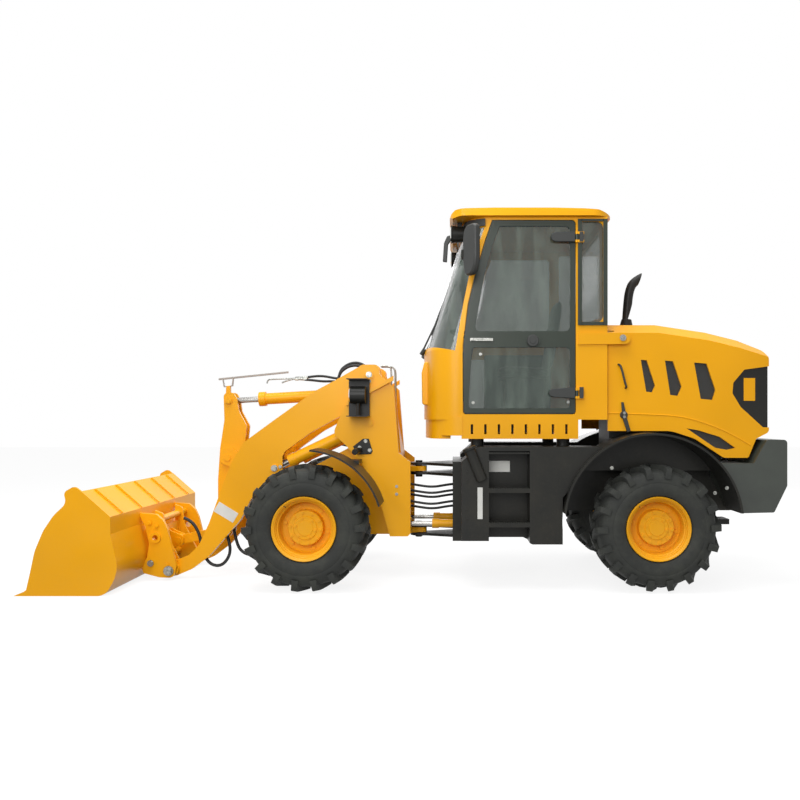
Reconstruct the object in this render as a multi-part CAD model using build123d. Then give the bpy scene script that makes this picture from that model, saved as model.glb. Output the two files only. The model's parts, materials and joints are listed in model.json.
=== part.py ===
from build123d import *
import os
from math import atan2, cos, degrees, hypot, pi, radians, sin, tan

# Articulated wheel loader.  Millimetres, +X forward, +Y to the machine's left, +Z up.
# Sizes below are measured from the articulation pin (x = 0) and from the ground (z = 0).
# Every piece is moved by -X_MID when it is written, so that the machine's box is centred.

# ---------------------------------------------------------------- driving sizes
RUN = 0.08               # radial running clearance of a pin in its bore
SEAT = 0.3               # gap left between curved faces of two bodies
CLEAR = 6.0              # least air between moving pieces

BUCKET_HALF = 1000.0
BUCKET_TIP = 3165.0
BUCKET_HEEL = 2437.0
BUCKET_WALL = 16.0
BUCKET_SIDE = 20.0
REAR_END = -3064.0
X_MID = (BUCKET_TIP + REAR_END) / 2

AXLE_FRONT = 885.0
AXLE_REAR = -1965.0
TYRE_R = 515.0
TYRE_WIDTH = 400.0
LUG_DEPTH = 38.0
LUG_PAIRS = 18
LUG_WIDTH = 62.0
TYRE_SIDES = 36
TRACK_HALF = 740.0
LAMP_SEAT = 405.0
TOW_PIN = (-2760.0, 0.0)
TOW_PIN_R = 20.0
TOW_LOW, TOW_HIGH = 442.0, 626.0
ENGINE_LOW = 760.0
RIM_R = 262.0
RIM_WIDTH = 330.0
HUB_R = 142.0
DISC_R = 215.0

ARM_PIVOT = (416.0, 1786.0)
ARM_NOSE = (2136.0, 90.0)
CRANK_PIVOT = (1735.0, 1048.0)
CRANK_TOP = (1735.0, 1565.0)
CRANK_LOW = (1760.0, 380.0)
LINK_PIN = (2200.0, 290.0)
TILT_BASE = (440.0, 1640.0)
LIFT_BASE = (411.0, 1366.0)
LIFT_EYE = (1244.0, 972.0)
PIN_R = 30.0

ARM_IN, ARM_OUT = 285.0, 350.0
PLATE_IN, PLATE_OUT = 356.0, 376.0
INNER_IN, INNER_OUT = 215.0, 235.0
LIFT_Y = 295.0
CRANK_IN, CRANK_OUT = 40.0, 65.0
EAR_IN, EAR_OUT = 71.0, 96.0
COUPLER_IN, COUPLER_OUT = 395.0, 430.0

STEER_Y, STEER_Z = 230.0, 470.0
STEER_BASE_X, STEER_EYE_X = -520.0, 90.0

CAB_HALF = 700.0
CAB_REAR = -1594.0
CAB_FLOOR = 1394.0
CAB_WAIST = 1980.0
CAB_TOP = 3076.0
CAB_WALL = 40.0
ROOF_TOP = 3150.0
ROOF_HALF = 750.0
GLASS = 8.0
DOOR_HINGE_X, DOOR_HINGE_Y = -1336.0, CAB_HALF + 16.0
DOOR_HINGES = (2905.0, 1612.0)
KNUCKLE_R = 13.0
DOOR_GAP = 6.0

HOOD_HALF = 660.0
HOOD_FRONT = -1604.0
HOOD_REAR = -2950.0
HOOD_WALL = 20.0
HOOD_PIVOT = (-1717.0, 2071.0)
HOOD_PIN_R = 20.0
COWL_REAR = -2087.0
COWL_HALF = 524.0
COWL_GAP = 13.0
SWING_X = CAB_REAR + 44
SWING_HALF = 668.0
SWING_LOW, SWING_HIGH = 2000.0, 2200.0
REAR_SILL = 2255.0

CHASSIS_HALF = 340.0
RAIL = 60.0
FRAME_TOP = 1031.0
FRAME_LOW = 600.0
BOX_OUT = 830.0
BOX_IN = 450.0
BOX_TOP = 1172.0
FENDER_R = 725.0
FENDER_X, FENDER_Z = -1928.0, 562.0
FENDER_OUT = 900.0
FENDER_IN = 500.0

parts = {}


# ---------------------------------------------------------------- helpers
def outline(rows):
    """Closed face from rows of (x, z) or (x, z, corner radius); a corner takes at most
    half of each side that meets it."""
    rows = [(Vector(row[0], row[1]), row[2] if len(row) > 2 else 0) for row in rows]
    ends = []
    for number, (corner, radius) in enumerate(rows):
        before, after = rows[number - 1][0] - corner, rows[(number + 1) % len(rows)][0] - corner
        turn = pi - radians(before.get_angle(after))
        reach = min(radius * tan(turn / 2), 0.49 * before.length, 0.49 * after.length)
        if reach < 0.5:
            ends.append((corner, corner, corner))
            continue
        start, end = corner + before.normalized() * reach, corner + after.normalized() * reach
        bent = reach / tan(turn / 2)
        inward = (before.normalized() + after.normalized()).normalized()
        ends.append((start, corner + inward * (hypot(bent, reach) - bent), end))
    edges = []
    for number, (start, middle, end) in enumerate(ends):
        if (end - start).length > 0.1:
            edges.append(ThreePointArc(start, middle, end))
        edges.append(Line(end, ends[(number + 1) % len(ends)][0]))
    return make_face(edges)


def side_plate(rows, y_low, y_high):
    """Outline drawn in the side view, as thick as y_low to y_high."""
    return extrude(Pos(0, y_high, 0) * (Plane.XZ * outline(rows)), amount=y_high - y_low)


def plan_plate(rows, z_low, z_high):
    """Outline drawn in plan, standing from z_low to z_high."""
    return extrude(Pos(0, 0, z_low) * outline(rows), amount=z_high - z_low)


def block(x_low, x_high, y_low, y_high, z_low, z_high):
    place = Pos((x_low + x_high) / 2, (y_low + y_high) / 2, (z_low + z_high) / 2)
    return place * Box(x_high - x_low, y_high - y_low, z_high - z_low)


def cross_pin(point, radius, y_low, y_high):
    """Round bar along Y through a point of the side view."""
    place = Pos(point[0], (y_low + y_high) / 2, point[1]) * Rot(90, 0, 0)
    return place * Cylinder(radius, y_high - y_low)


def upright_pin(x, y, radius, z_low, z_high):
    return Pos(x, y, (z_low + z_high) / 2) * Cylinder(radius, z_high - z_low)


def round_bar(start, end, radius):
    """Round bar between two points in space."""
    line = Vector(*end) - Vector(*start)
    plane = Plane(origin=Vector(*start), z_dir=line)
    return extrude(plane * Circle(radius), amount=line.length)


def both(solid):
    return solid + mirror(solid, about=Plane.XZ)


def along(start, end, distance, side=0.0):
    """Point of the side view at a distance from start towards end, moved sideways."""
    length = hypot(end[0] - start[0], end[1] - start[1])
    ux, uz = (end[0] - start[0]) / length, (end[1] - start[1]) / length
    return (start[0] + ux * distance - uz * side, start[1] + uz * distance + ux * side)


# ---------------------------------------------------------------- hydraulic cylinders
# columns: barrel radius, gland radius, rod radius, eye radius, half the eye's width
LIFT_SIZES = (55.0, 60.0, 30.0, 52.0, 25.0)
TILT_SIZES = (52.0, 66.0, 26.0, 50.0, 30.0)
STEER_SIZES = (36.0, 42.0, 20.0, 34.0, 20.0)
GLAND_LONG = 60.0


def barrel(length, gland_at, rod_deep, sizes, pin):
    """Cylinder barrel lying along +X from its base eye at the origin."""
    barrel_r, gland_r, rod_r, eye_r, eye_half = sizes
    tube_from = eye_r + CLEAR
    tube = Pos((gland_at + tube_from) / 2, 0, 0) * Rot(0, 90, 0) * Cylinder(barrel_r, gland_at - tube_from)
    gland = Pos(gland_at - GLAND_LONG / 2, 0, 0) * Rot(0, 90, 0) * Cylinder(gland_r, GLAND_LONG)
    eye = Rot(90, 0, 0) * Cylinder(eye_r, 2 * eye_half)
    neck = block(0, tube_from + CLEAR, -eye_half, eye_half, -eye_r * 0.8, eye_r * 0.8)
    bore = Rot(90, 0, 0) * Cylinder(pin + RUN, 4 * eye_half)
    inside = Pos(gland_at - rod_deep / 2 + 5, 0, 0) * Rot(0, 90, 0) * Cylinder(rod_r + RUN, rod_deep + 10)
    return tube + gland + eye + neck - bore - inside


def rod(eye_at, tail_at, sizes):
    """Piston rod along +X from its tail to its eye, in the same frame as the barrel."""
    barrel_r, gland_r, rod_r, eye_r, eye_half = sizes
    bar = Pos((eye_at + tail_at) / 2, 0, 0) * Rot(0, 90, 0) * Cylinder(rod_r, eye_at - tail_at)
    eye = Pos(eye_at, 0, 0) * Rot(90, 0, 0) * Cylinder(eye_r, 2 * eye_half)
    return bar + eye


def lay(solid, base, eye, y):
    """Turn a cylinder in the side view so that it points from base to eye."""
    angle = degrees(atan2(eye[1] - base[1], eye[0] - base[0]))
    return Pos(base[0], y, base[1]) * Rot(0, -angle, 0) * solid


def span(a, b):
    return hypot(b[0] - a[0], b[1] - a[1])


# ---------------------------------------------------------------- wheels
def polygon_ring(y, radius):
    """Regular polygon about the axle, its flats at the radius."""
    return Pos(0, y, 0) * Rot(90, 0, 0) * RegularPolygon(radius, TYRE_SIDES, major_radius=False)


def make_tyre():
    half = TYRE_WIDTH / 2
    tread_r = TYRE_R - LUG_DEPTH
    bead = RIM_WIDTH / 2 - SEAT
    # columns: distance across the tyre, radius
    sections = (
        (-bead, RIM_R + 22),
        (-half + 3, tread_r - 78),
        (-half + 48, tread_r),
        (half - 48, tread_r),
        (half - 3, tread_r - 78),
        (bead, RIM_R + 22),
    )
    carcass = loft([polygon_ring(y, radius) for y, radius in sections], ruled=True)
    bore = loft([polygon_ring(y, RIM_R + SEAT) for y in (-bead - 10, bead + 10)], ruled=True)
    tyre = carcass - bore
    pitch = 360 / LUG_PAIRS
    # columns: distance across the tyre, turn ahead of the lug's root, foot radius, tip radius
    lug_sections = (
        (10, 0.0, tread_r - 12, TYRE_R),
        (half - 40, 0.62 * pitch, tread_r - 12, TYRE_R),
        (half, 0.80 * pitch, tread_r - 70, TYRE_R - 12),
    )
    lugs = []
    for side, start in ((1, 0.0), (-1, 0.5 * pitch)):
        rectangles = []
        for across, turn, foot, tip in lug_sections:
            # the outer corners of a block's flat top stand at the tip radius
            top = (tip ** 2 - (LUG_WIDTH / 2) ** 2) ** 0.5
            place = Rot(0, start + turn, 0) * Pos(0, side * across, (foot + top) / 2) * Rot(90, 0, 0)
            rectangles.append(place * Rectangle(LUG_WIDTH, top - foot))
        first = loft(rectangles, ruled=True)
        lugs += [Rot(0, number * pitch, 0) * first for number in range(LUG_PAIRS)]
    return tyre.fuse(*lugs)


def make_rim():
    """Rim, disc and hub cap turned about the axle, outer side towards +Y."""
    half = RIM_WIDTH / 2
    # columns: distance across the rim (outwards positive), radius
    section = (
        (-half, RIM_R), (half, RIM_R), (half, RIM_R + 16), (half + 14, RIM_R + 16), (half + 14, RIM_R - 16),
        (40, DISC_R), (20, HUB_R), (half - 55, HUB_R), (half - 35, HUB_R - 30), (half - 35, 0),
        (-20, 0), (-20, DISC_R), (-half, RIM_R - 16),
    )
    face = make_face(Polyline(*[(radius, across) for across, radius in section], close=True))
    return revolve(face, Axis.Y)


def wheel_at(solid, x, side):
    turned = solid if side > 0 else Rot(0, 0, 180) * solid
    return Pos(x, side * TRACK_HALF, TYRE_R) * turned


# ---------------------------------------------------------------- axles
HUB_FACE = 20.0          # the wheel disc's inner face, inboard of the tyre's middle


def make_axle(x):
    end = TRACK_HALF - HUB_FACE - 0.5
    beam = cross_pin((x, TYRE_R), 78, -end + 60, end - 60)
    flanges = both(cross_pin((x, TYRE_R), 120, end - 80, end))
    bowl = Pos(x, 0, TYRE_R) * Sphere(165)
    bowl &= block(x - 170, x + 170, -150, 150, TYRE_R - 150, TYRE_R + 84)
    pads = both(block(x - 70, x + 70, 200, 335, TYRE_R, FRAME_LOW))
    return beam + flanges + bowl + pads


# ---------------------------------------------------------------- rear frame
def make_rear_chassis():
    rails = both(block(REAR_END + 120, -310, CHASSIS_HALF - RAIL, CHASSIS_HALF, FRAME_LOW, FRAME_TOP))
    front = block(-388, -310, -BOX_IN, BOX_IN, 348, FRAME_TOP)
    front -= block(-400, -300, -150, 150, 560, 860)
    front -= both(block(-400, -300, STEER_Y - 75, STEER_Y + 75, STEER_Z - 62, STEER_Z + 62))
    nose = 78
    forks = []
    # columns: height, half width at the frame's front
    for z, half in ((979, 300), (893, 300), (418, 165), (338, 165)):
        rows = ((-310, -half), (-nose, -nose, 40), (nose, -nose, nose - 1), (nose, nose, nose - 1),
                (-nose, nose, 40), (-310, half))
        forks.append(plan_plate(rows, z, z + 24))
    crosses = [block(x, x + 40, -CHASSIS_HALF + 10, CHASSIS_HALF - 10, FRAME_LOW + 20, ENGINE_LOW)
               for x in (-900, -1750, -2500)]
    tow = block(-2860, -2640, -CHASSIS_HALF + 10, CHASSIS_HALF - 10, FRAME_LOW, FRAME_LOW + 40)
    tow += block(-2824, -2669, -90, 90, TOW_LOW, FRAME_LOW + 20)
    tow -= block(-2900, -2700, -100, 100, TOW_LOW + 48, TOW_HIGH - 57)
    tow -= upright_pin(*TOW_PIN, TOW_PIN_R, 400, TOW_HIGH)
    crosses.append(tow)
    eye_end = STEER_BASE_X + STEER_SIZES[3] - CLEAR
    base = both(block(STEER_BASE_X - 70, eye_end, STEER_Y - 60, STEER_Y + 60, STEER_Z - 48, STEER_Z - 26))
    base += both(block(STEER_BASE_X - 70, eye_end, STEER_Y - 60, STEER_Y + 60, STEER_Z + 26, STEER_Z + 48))
    base += both(block(STEER_BASE_X - 90, STEER_BASE_X - 70, STEER_Y - 60, CHASSIS_HALF, STEER_Z - 48,
                       FRAME_LOW + 20))
    pins = both(upright_pin(STEER_BASE_X, STEER_Y, 18, STEER_Z - 60, STEER_Z + 60))
    chassis = rails + front + base + pins
    for piece in forks + crosses:
        chassis += piece
    for low, high in ((870, 1020), (320, 460)):
        chassis += upright_pin(0, 0, 32, low, high)
    return chassis


def fender_room(grow):
    return cross_pin((FENDER_X, FENDER_Z), FENDER_R + grow, -1100, 1100)


def make_side_box(side):
    rows = ((-384, 408), (-384, 1054), (-520, BOX_TOP), (-1560, BOX_TOP), (-1205, 760), (-1205, 380),
            (-960, 380), (-900, 408))
    body = side_plate(rows, BOX_IN, BOX_OUT) - fender_room(0.5)
    body = body - block(-937, -605, 620, 900, 300, 1140)
    treads = [block(-938, -604, 640, BOX_OUT, z - 32, z) for z in (831, 551)]
    for tread in treads:
        body += tread
    body = body - block(-1700, -380, 0, BOX_IN + 0.0, 0, 2000)
    return body if side > 0 else mirror(body, about=Plane.XZ)


def make_rear_fender(counterweight):
    ring = cross_pin((FENDER_X, FENDER_Z), FENDER_R, FENDER_IN, FENDER_OUT)
    ring -= cross_pin((FENDER_X, FENDER_Z), FENDER_R - 18, FENDER_IN + 16, FENDER_OUT + 10)
    keep = block(FENDER_X - 800, FENDER_X + 800, 400, 1000, 640, 1400)
    ring &= keep
    room = block(FENDER_X - 800, FENDER_X + 800, FENDER_IN - 10, FENDER_IN + 16, 600, 960)
    ring -= room
    stay = block(FENDER_X - 60, FENDER_X + 60, CHASSIS_HALF, FENDER_IN, 965, 1025)
    return both(ring + stay) - counterweight


def make_counterweight():
    rows = ((-2502, 1034), (-2790, 1034, 30), (-2850, 1150, 40), (-2900, 1229, 30), (REAR_END, 1229, 30),
            (REAR_END, 851, 20), (-2957, 630, 20), (-2700, 624))
    body = side_plate(rows, -750, 750)
    rails = block(REAR_END + 119, -2000, -CHASSIS_HALF, CHASSIS_HALF, FRAME_LOW, FRAME_TOP + 4)
    return body - rails


# ---------------------------------------------------------------- cab
def cab_section(z, front, corner_x, corner_y, side_x, grow):
    """Plan outline of the cab at a height: round front, flat sides, square back."""
    half = CAB_HALF + grow
    rear = CAB_REAR - grow
    nose = front + grow
    mid = (corner_x + 0.7 * grow, corner_y + 0.7 * grow)
    right = Line((rear, -half), (side_x, -half))
    bow_right = ThreePointArc((side_x, -half), ((side_x + mid[0]) / 2 + 42, -(half + mid[1]) / 2 - 42),
                              (mid[0], -mid[1]))
    bow = ThreePointArc((mid[0], -mid[1]), (nose, 0), (mid[0], mid[1]))
    bow_left = ThreePointArc((mid[0], mid[1]), ((side_x + mid[0]) / 2 + 42, (half + mid[1]) / 2 + 42),
                             (side_x, half))
    left = Line((side_x, half), (rear, half))
    back = Line((rear, half), (rear, -half))
    return Pos(0, 0, z) * make_face(right + bow_right + bow + bow_left + left + back)


# columns: height, front at the middle, corner x, corner y, start of the flat side
CAB_SECTIONS = (
    (CAB_WAIST, -50.0, -120.0, 520.0, -385.0),
    (CAB_TOP, -390.0, -440.0, 480.0, -590.0),
)


def cab_volume(grow, z_low, z_high):
    """Cab body grown or shrunk, from z_low to z_high."""
    foot = CAB_SECTIONS[0]
    lower = extrude(cab_section(CAB_FLOOR, *foot[1:], grow), amount=CAB_WAIST - CAB_FLOOR)
    upper = loft([cab_section(*row, grow) for row in CAB_SECTIONS], ruled=True)
    return (lower + upper) & block(-2000, 200, -1000, 1000, z_low, z_high)


DOOR_ROWS = ((-640, 3046), (-1326, 3046, 30), (-1326, 1445, 20), (-400, 1445, 20), (-398, 2013, 40),
             (-440, 2353, 60), (-500, 2606, 60), (-585, 2886, 60))
WINDSCREEN_ROWS = ((60, 2046), (-330, 1968), (-398, 2353), (-450, 2606), (-535, 2886), (-575, 2990), (60, 2990))


def inset(rows, gap):
    """The same outline grown (positive gap) or shrunk."""
    return offset(outline(rows), amount=gap, kind=Kind.INTERSECTION)


def side_prism(face, y_low, y_high):
    return extrude(Pos(0, y_high, 0) * (Plane.XZ * face), amount=y_high - y_low)


SIDE_WINDOWS = {
    "upper": ((-700, 3000), (-1284, 3000, 40), (-1284, 2128, 40), (-490, 2128, 40), (-530, 2353, 60),
              (-575, 2606, 60), (-645, 2860, 60)),
    "lower": ((-470, 1995, 30), (-1284, 1995, 30), (-1284, 1489, 30), (-440, 1489, 30)),
}
QUARTER = ((-1376, 3040, 30), (-1560, 3040, 60), (-1560, 2200, 60), (-1376, 2200, 30))


def make_cab():
    outer = cab_volume(0, CAB_FLOOR, CAB_TOP)
    inner = cab_volume(-CAB_WALL, CAB_FLOOR + CAB_WALL, CAB_TOP + 10)
    # the hood's front corners swing into a recess of the back wall
    outer -= block(CAB_REAR - 10, SWING_X, -SWING_HALF, SWING_HALF, SWING_LOW, SWING_HIGH)
    inner -= block(CAB_REAR - 10, SWING_X + CAB_WALL, -SWING_HALF - CAB_WALL, SWING_HALF + CAB_WALL,
                   SWING_LOW - CAB_WALL, SWING_HIGH + CAB_WALL)
    shell = outer - inner
    shell -= side_prism(inset(DOOR_ROWS, DOOR_GAP), 600, 800)
    windscreen = side_prism(outline(WINDSCREEN_ROWS), -900, 900)
    shell -= windscreen
    for rows in SIDE_WINDOWS.values():
        shell -= side_plate(rows, -800, -600)
    shell -= side_plate(QUARTER, 600, 800)
    shell -= side_plate(QUARTER, -800, -600)
    rear_hole = block(CAB_REAR - 20, CAB_REAR + 60, -560, 560, REAR_SILL, 3000)
    shell -= rear_hole
    pane = cab_volume(-12, CAB_WAIST - 60, CAB_TOP) - cab_volume(-12 - GLASS, CAB_FLOOR, CAB_TOP + 10)
    panes = pane & side_prism(outline(WINDSCREEN_ROWS), -900, 900)
    flat = [side_plate(rows, -CAB_HALF + 12, -CAB_HALF + 12 + GLASS) for rows in SIDE_WINDOWS.values()]
    flat += [side_plate(QUARTER, -CAB_HALF + 12, -CAB_HALF + 12 + GLASS)]
    flat += [side_plate(QUARTER, CAB_HALF - 12 - GLASS, CAB_HALF - 12)]
    flat += [block(CAB_REAR + 12, CAB_REAR + 12 + GLASS, -560, 560, REAR_SILL, 3000)]
    glass = panes
    for sheet in flat:
        glass += sheet
    return shell, glass


def make_door():
    frame = side_plate(DOOR_ROWS, CAB_HALF - CAB_WALL, CAB_HALF)
    pane = None
    for rows in SIDE_WINDOWS.values():
        frame -= side_plate(rows, 600, 800)
        sheet = side_plate(rows, CAB_HALF - 12 - GLASS, CAB_HALF - 12)
        pane = sheet if pane is None else pane + sheet
    lock = cross_pin((-978, 2058), 62, CAB_HALF - 1, CAB_HALF + 14)
    for z in DOOR_HINGES:
        leaf = block(DOOR_HINGE_X, DOOR_HINGE_X + 150, CAB_HALF - 1, CAB_HALF + 14, z - 22, z + 22)
        leaf -= block(DOOR_HINGE_X - 20, DOOR_HINGE_X + DOOR_GAP + 8, CAB_HALF - 5, CAB_HALF + 3, 0, 4000)
        frame += leaf + upright_pin(DOOR_HINGE_X, DOOR_HINGE_Y, KNUCKLE_R, z - 22, z + 22)
        frame -= upright_pin(DOOR_HINGE_X, DOOR_HINGE_Y, KNUCKLE_R / 2 + RUN, z - 30, z + 30)
    return frame + lock, pane


def make_door_hinges():
    """The cab's half of each door hinge: a pin held by an ear above and one below."""
    whole = None
    for z in DOOR_HINGES:
        hinge = upright_pin(DOOR_HINGE_X, DOOR_HINGE_Y, KNUCKLE_R / 2, z - 40, z + 40)
        for low in (z - 44, z + 24):
            hinge += block(DOOR_HINGE_X - 60, DOOR_HINGE_X, CAB_HALF - 1, DOOR_HINGE_Y + 10, low, low + 20)
            hinge += upright_pin(DOOR_HINGE_X, DOOR_HINGE_Y, KNUCKLE_R, low, low + 20)
        whole = hinge if whole is None else whole + hinge
    return whole


def make_roof():
    rows = ((-286, 3084, 20), (-330, 3134, 60), (-651, ROOF_TOP, 300), (-1157, ROOF_TOP, 300),
            (-1500, 3132, 100), (-1640, 3096, 30), (-1625, CAB_TOP), (-380, CAB_TOP), (-310, 3062, 10))
    slab = side_plate(rows, -ROOF_HALF, ROOF_HALF)
    return slab


def make_skirt():
    side = block(-1352, -384, CAB_HALF - 40, CAB_HALF, 1235, CAB_FLOOR)
    for number in range(8):
        x = -470 - number * 112
        side -= block(x - 10, x + 10, 600, 800, 1274, 1356)
    front = cab_volume(-14, CAB_FLOOR, CAB_FLOOR + 160) - cab_volume(-54, CAB_FLOOR - 5, CAB_FLOOR + 165)
    front = Pos(0, 0, -160) * (front & block(-380, 100, -640, 640, 0, 3000))
    for number in range(5):
        y = (number - 2) * 150
        front -= block(-200, 100, y - 12, y + 12, 1275, 1355)
    return both(side) + front


def make_cab_mounts():
    legs = []
    for x in (-520, -1250):
        for y in (-520, 520):
            legs.append(upright_pin(x, y, 55, BOX_TOP, CAB_FLOOR))
    whole = legs[0]
    for leg in legs[1:]:
        whole += leg
    return whole


def make_interior():
    cushion = block(-1180, -720, -240, 240, 1760, 1880)
    back = side_plate(((-1120, 1800), (-1230, 2480, 50), (-1340, 2480, 50), (-1270, 1800, 60)), -230, 230)
    seat = cushion + back + block(-1140, -780, -180, 180, CAB_FLOOR + CAB_WALL, 1760)
    column = round_bar((-330, 0, CAB_FLOOR), (-478, 0, 2160), 45)
    column = column & block(-900, 0, -300, 300, CAB_FLOOR + CAB_WALL, 2300)
    wheel = Pos(-478, 0, 2160) * Rot(0, -14, 0) * Torus(185, 15)
    spokes = Pos(-478, 0, 2160) * Rot(0, -14, 0) * Box(30, 370, 20)
    steering = column + wheel + spokes
    console = block(-1250, -620, -540, -300, CAB_FLOOR + CAB_WALL, 2010)
    return seat, steering, console


# ---------------------------------------------------------------- hood
HOOD_ROWS = ((HOOD_FRONT, 2197, 30), (-2030, 2197), (-2455, 2134), (-2723, 2067), (HOOD_REAR + 20, 1975, 60),
             (HOOD_REAR, 1900), (HOOD_REAR, 1290, 40), (-2843, 1235, 30), (-2778, 1076, 20), (-2572, 1076, 60),
             (-2330, 1236, 200), (-2134, 1300, 300), (HOOD_FRONT, 1300))
GRILLE_ROWS = ((-2745, 1812), (-2652, 1703, 30), (-2645, 1614, 30), (-2714, 1500, 30), (-2900, 1330),
               (-3100, 1330), (-3100, 1860))
# each vent's corners, from the front top going round
VENTS = (
    ((-1880, 1895), (-1930, 1890), (-2000, 1678, 20), (-1975, 1622), (-1925, 1628)),
    ((-2082, 1888), (-2150, 1882), (-2222, 1668, 20), (-2190, 1593), (-2126, 1600)),
    ((-2325, 1872), (-2430, 1862), (-2505, 1641, 20), (-2480, 1558), (-2380, 1568)),
    ((-2262, 1322), (-2360, 1306), (-2540, 1250), (-2670, 1158), (-2600, 1142), (-2500, 1160)),
)


def hood_volume(shrink):
    body = side_prism(inset(HOOD_ROWS, -shrink) if shrink else outline(HOOD_ROWS), -HOOD_HALF + shrink,
                      HOOD_HALF - shrink)
    return body


def hood_cross(shrink):
    """Bar along X with the hood's sloping shoulders, following the falling top."""
    rows = []
    half = HOOD_HALF - shrink
    for x, top in ((-1400, 2197), (-2030, 2197), (-2455, 2134), (-2723, 2067), (-3100, 1948)):
        z = top - shrink
        face = make_face(Polyline((-half, 900), (half, 900), (half, z - 78), (half - 130, z + 2), (130 - half, z + 2),
                                  (-half, z - 78), close=True))
        rows.append(Plane(origin=(x, 0, 0), x_dir=(0, 1, 0), z_dir=(1, 0, 0)) * face)
    return loft(rows, ruled=True)


def make_hood():
    outer = hood_volume(0) & hood_cross(0)
    inner = hood_volume(HOOD_WALL) & hood_cross(HOOD_WALL)
    mouth = block(HOOD_FRONT - 60, HOOD_FRONT + 60, -HOOD_HALF + HOOD_WALL, HOOD_HALF - HOOD_WALL, 1000, 2140)
    low = Pos(0, 0, -60) * inner
    shell = outer - inner - mouth - low
    shell -= block(COWL_REAR - COWL_GAP, HOOD_FRONT + 60, -COWL_HALF - CLEAR, COWL_HALF + CLEAR, 2140, 2300)
    region = side_prism(outline(GRILLE_ROWS), -900, 900)
    grille = (outer & side_prism(inset(GRILLE_ROWS, -SEAT), -HOOD_HALF + 10, HOOD_HALF - 10)) - inner
    grille -= block(HOOD_REAR - 50, HOOD_REAR + 8, -900, 900, 1000, 2200)
    shell -= region
    shell -= cross_pin(HOOD_PIVOT, HOOD_PIN_R + RUN, -900, 900)
    for number in range(9):
        z = 1385 + number * 50
        grille -= block(HOOD_REAR - 50, HOOD_REAR + 60, -520, 520, z, z + 22)
    screens = None
    for rows in VENTS:
        shell -= side_plate(rows, -800, 800)
        sheet = side_prism(inset(rows, 18), HOOD_HALF - HOOD_WALL - 12, HOOD_HALF - HOOD_WALL)
        sheet = both(sheet)
        screens = sheet if screens is None else screens + sheet
    cowl = hood_cross(0) - hood_cross(HOOD_WALL)
    cowl &= block(COWL_REAR, SWING_X, -COWL_HALF, COWL_HALF, 2150, 2300)
    return shell, grille, screens, cowl


def make_exhaust():
    """Exhaust stack on the cowl: a cone, then a pipe that leans and bends back."""
    x, y, foot = -1858, 190, 2199
    pipe_r = 38
    path = FilletPolyline((x, y, foot + 10), (x - 36, y, foot + 340), (x - 150, y, foot + 450), radius=120)
    pipe = sweep((path ^ 0) * Circle(pipe_r), path=path)
    return pipe + Pos(x - 4, y, foot + 45) * Cone(62, pipe_r + 3, 90)


def make_straps():
    rows = ((-1352, 2017), (-1352, 2114), (-1781, 2114, 46), (-1781, 2021, 46))
    plate = side_plate(rows, CAB_HALF, CAB_HALF + 12)
    boss = cross_pin(HOOD_PIVOT, 42, HOOD_HALF + CLEAR, CAB_HALF + 1)
    pin = cross_pin(HOOD_PIVOT, HOOD_PIN_R, HOOD_HALF - HOOD_WALL - 8, CAB_HALF + 1)
    return both(plate + boss + pin)


# ---------------------------------------------------------------- front frame
def make_tower():
    plate_rows = ((328, 1786, 80), (330, 1874, 86), (505, 1874, 86), (523, 1790, 40), (640, 1500, 20), (732, 1274, 60),
                  (618, 1167), (489, 1020), (363, 822), (237, 376), (81, 376), (58, 401, 10), (58, 1026),
                  (160, 1105, 20), (205, 1678))
    outer = side_plate(plate_rows, PLATE_IN, PLATE_OUT)
    strip = side_plate(((612, 1514), (612, 1556), (520, 1610), (300, 1722), (205, 1776), (205, 1735)), PLATE_OUT - 5,
                       LAMP_SEAT)
    inner_rows = ((328, 1786, 80), (330, 1874, 86), (505, 1874, 86), (523, 1790, 40), (540, 1500), (600, 1150),
                  (1080, 900, 60), (1080, FRAME_LOW), (700, FRAME_LOW), (620, 376), (150, 376), (150, 1105, 20),
                  (205, 1678))
    inner = side_plate(inner_rows, INNER_IN, INNER_OUT)
    pins = cross_pin(ARM_PIVOT, PIN_R + 10, INNER_IN - 5, PLATE_OUT + 12)
    pins += cross_pin(LIFT_BASE, PIN_R, INNER_IN - 5, PLATE_OUT + 10)
    half = outer + strip + inner + pins
    ties = side_plate(((150, 376), (150, 1100), (245, 1640), (270, 1640), (175, 1100), (175, 376)), -INNER_IN, INNER_IN)
    wall = block(150, 175, -PLATE_IN, PLATE_IN, 376, 1100)
    belly = block(175, 640, -INNER_IN, INNER_IN, 376, 400)
    deck = block(560, 1080, -INNER_IN, INNER_IN, FRAME_LOW, FRAME_LOW + 30)
    tower = both(half) + ties + wall + belly + deck
    nose = 72
    tongue_rows = ((155, -170), (0, -nose, 60), (-nose, -nose, nose - 1), (-nose, nose, nose - 1), (0, nose, 60),
                   (155, 170))
    for low in (926, 369):
        tongue = plan_plate(tongue_rows, low, low + 44) - upright_pin(0, 0, 32 + RUN, low - 5, low + 50)
        tower += tongue
    tilt_ears = both(side_plate(((255, 1560), (440, 1580, 55), (505, 1640, 55), (440, 1700, 55), (255, 1640)), 36, 58))
    tower += tilt_ears + cross_pin(TILT_BASE, PIN_R, -66, 66)
    for low, high in ((STEER_Z - 50, STEER_Z - 28), (STEER_Z + 28, STEER_Z + 50)):
        ear = plan_plate(((152, STEER_Y - 60), (STEER_EYE_X - 38, STEER_Y - 36, 30),
                          (STEER_EYE_X - 38, STEER_Y + 36, 30), (152, STEER_Y + 60)), low, high)
        tower += both(ear)
    return tower


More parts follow.
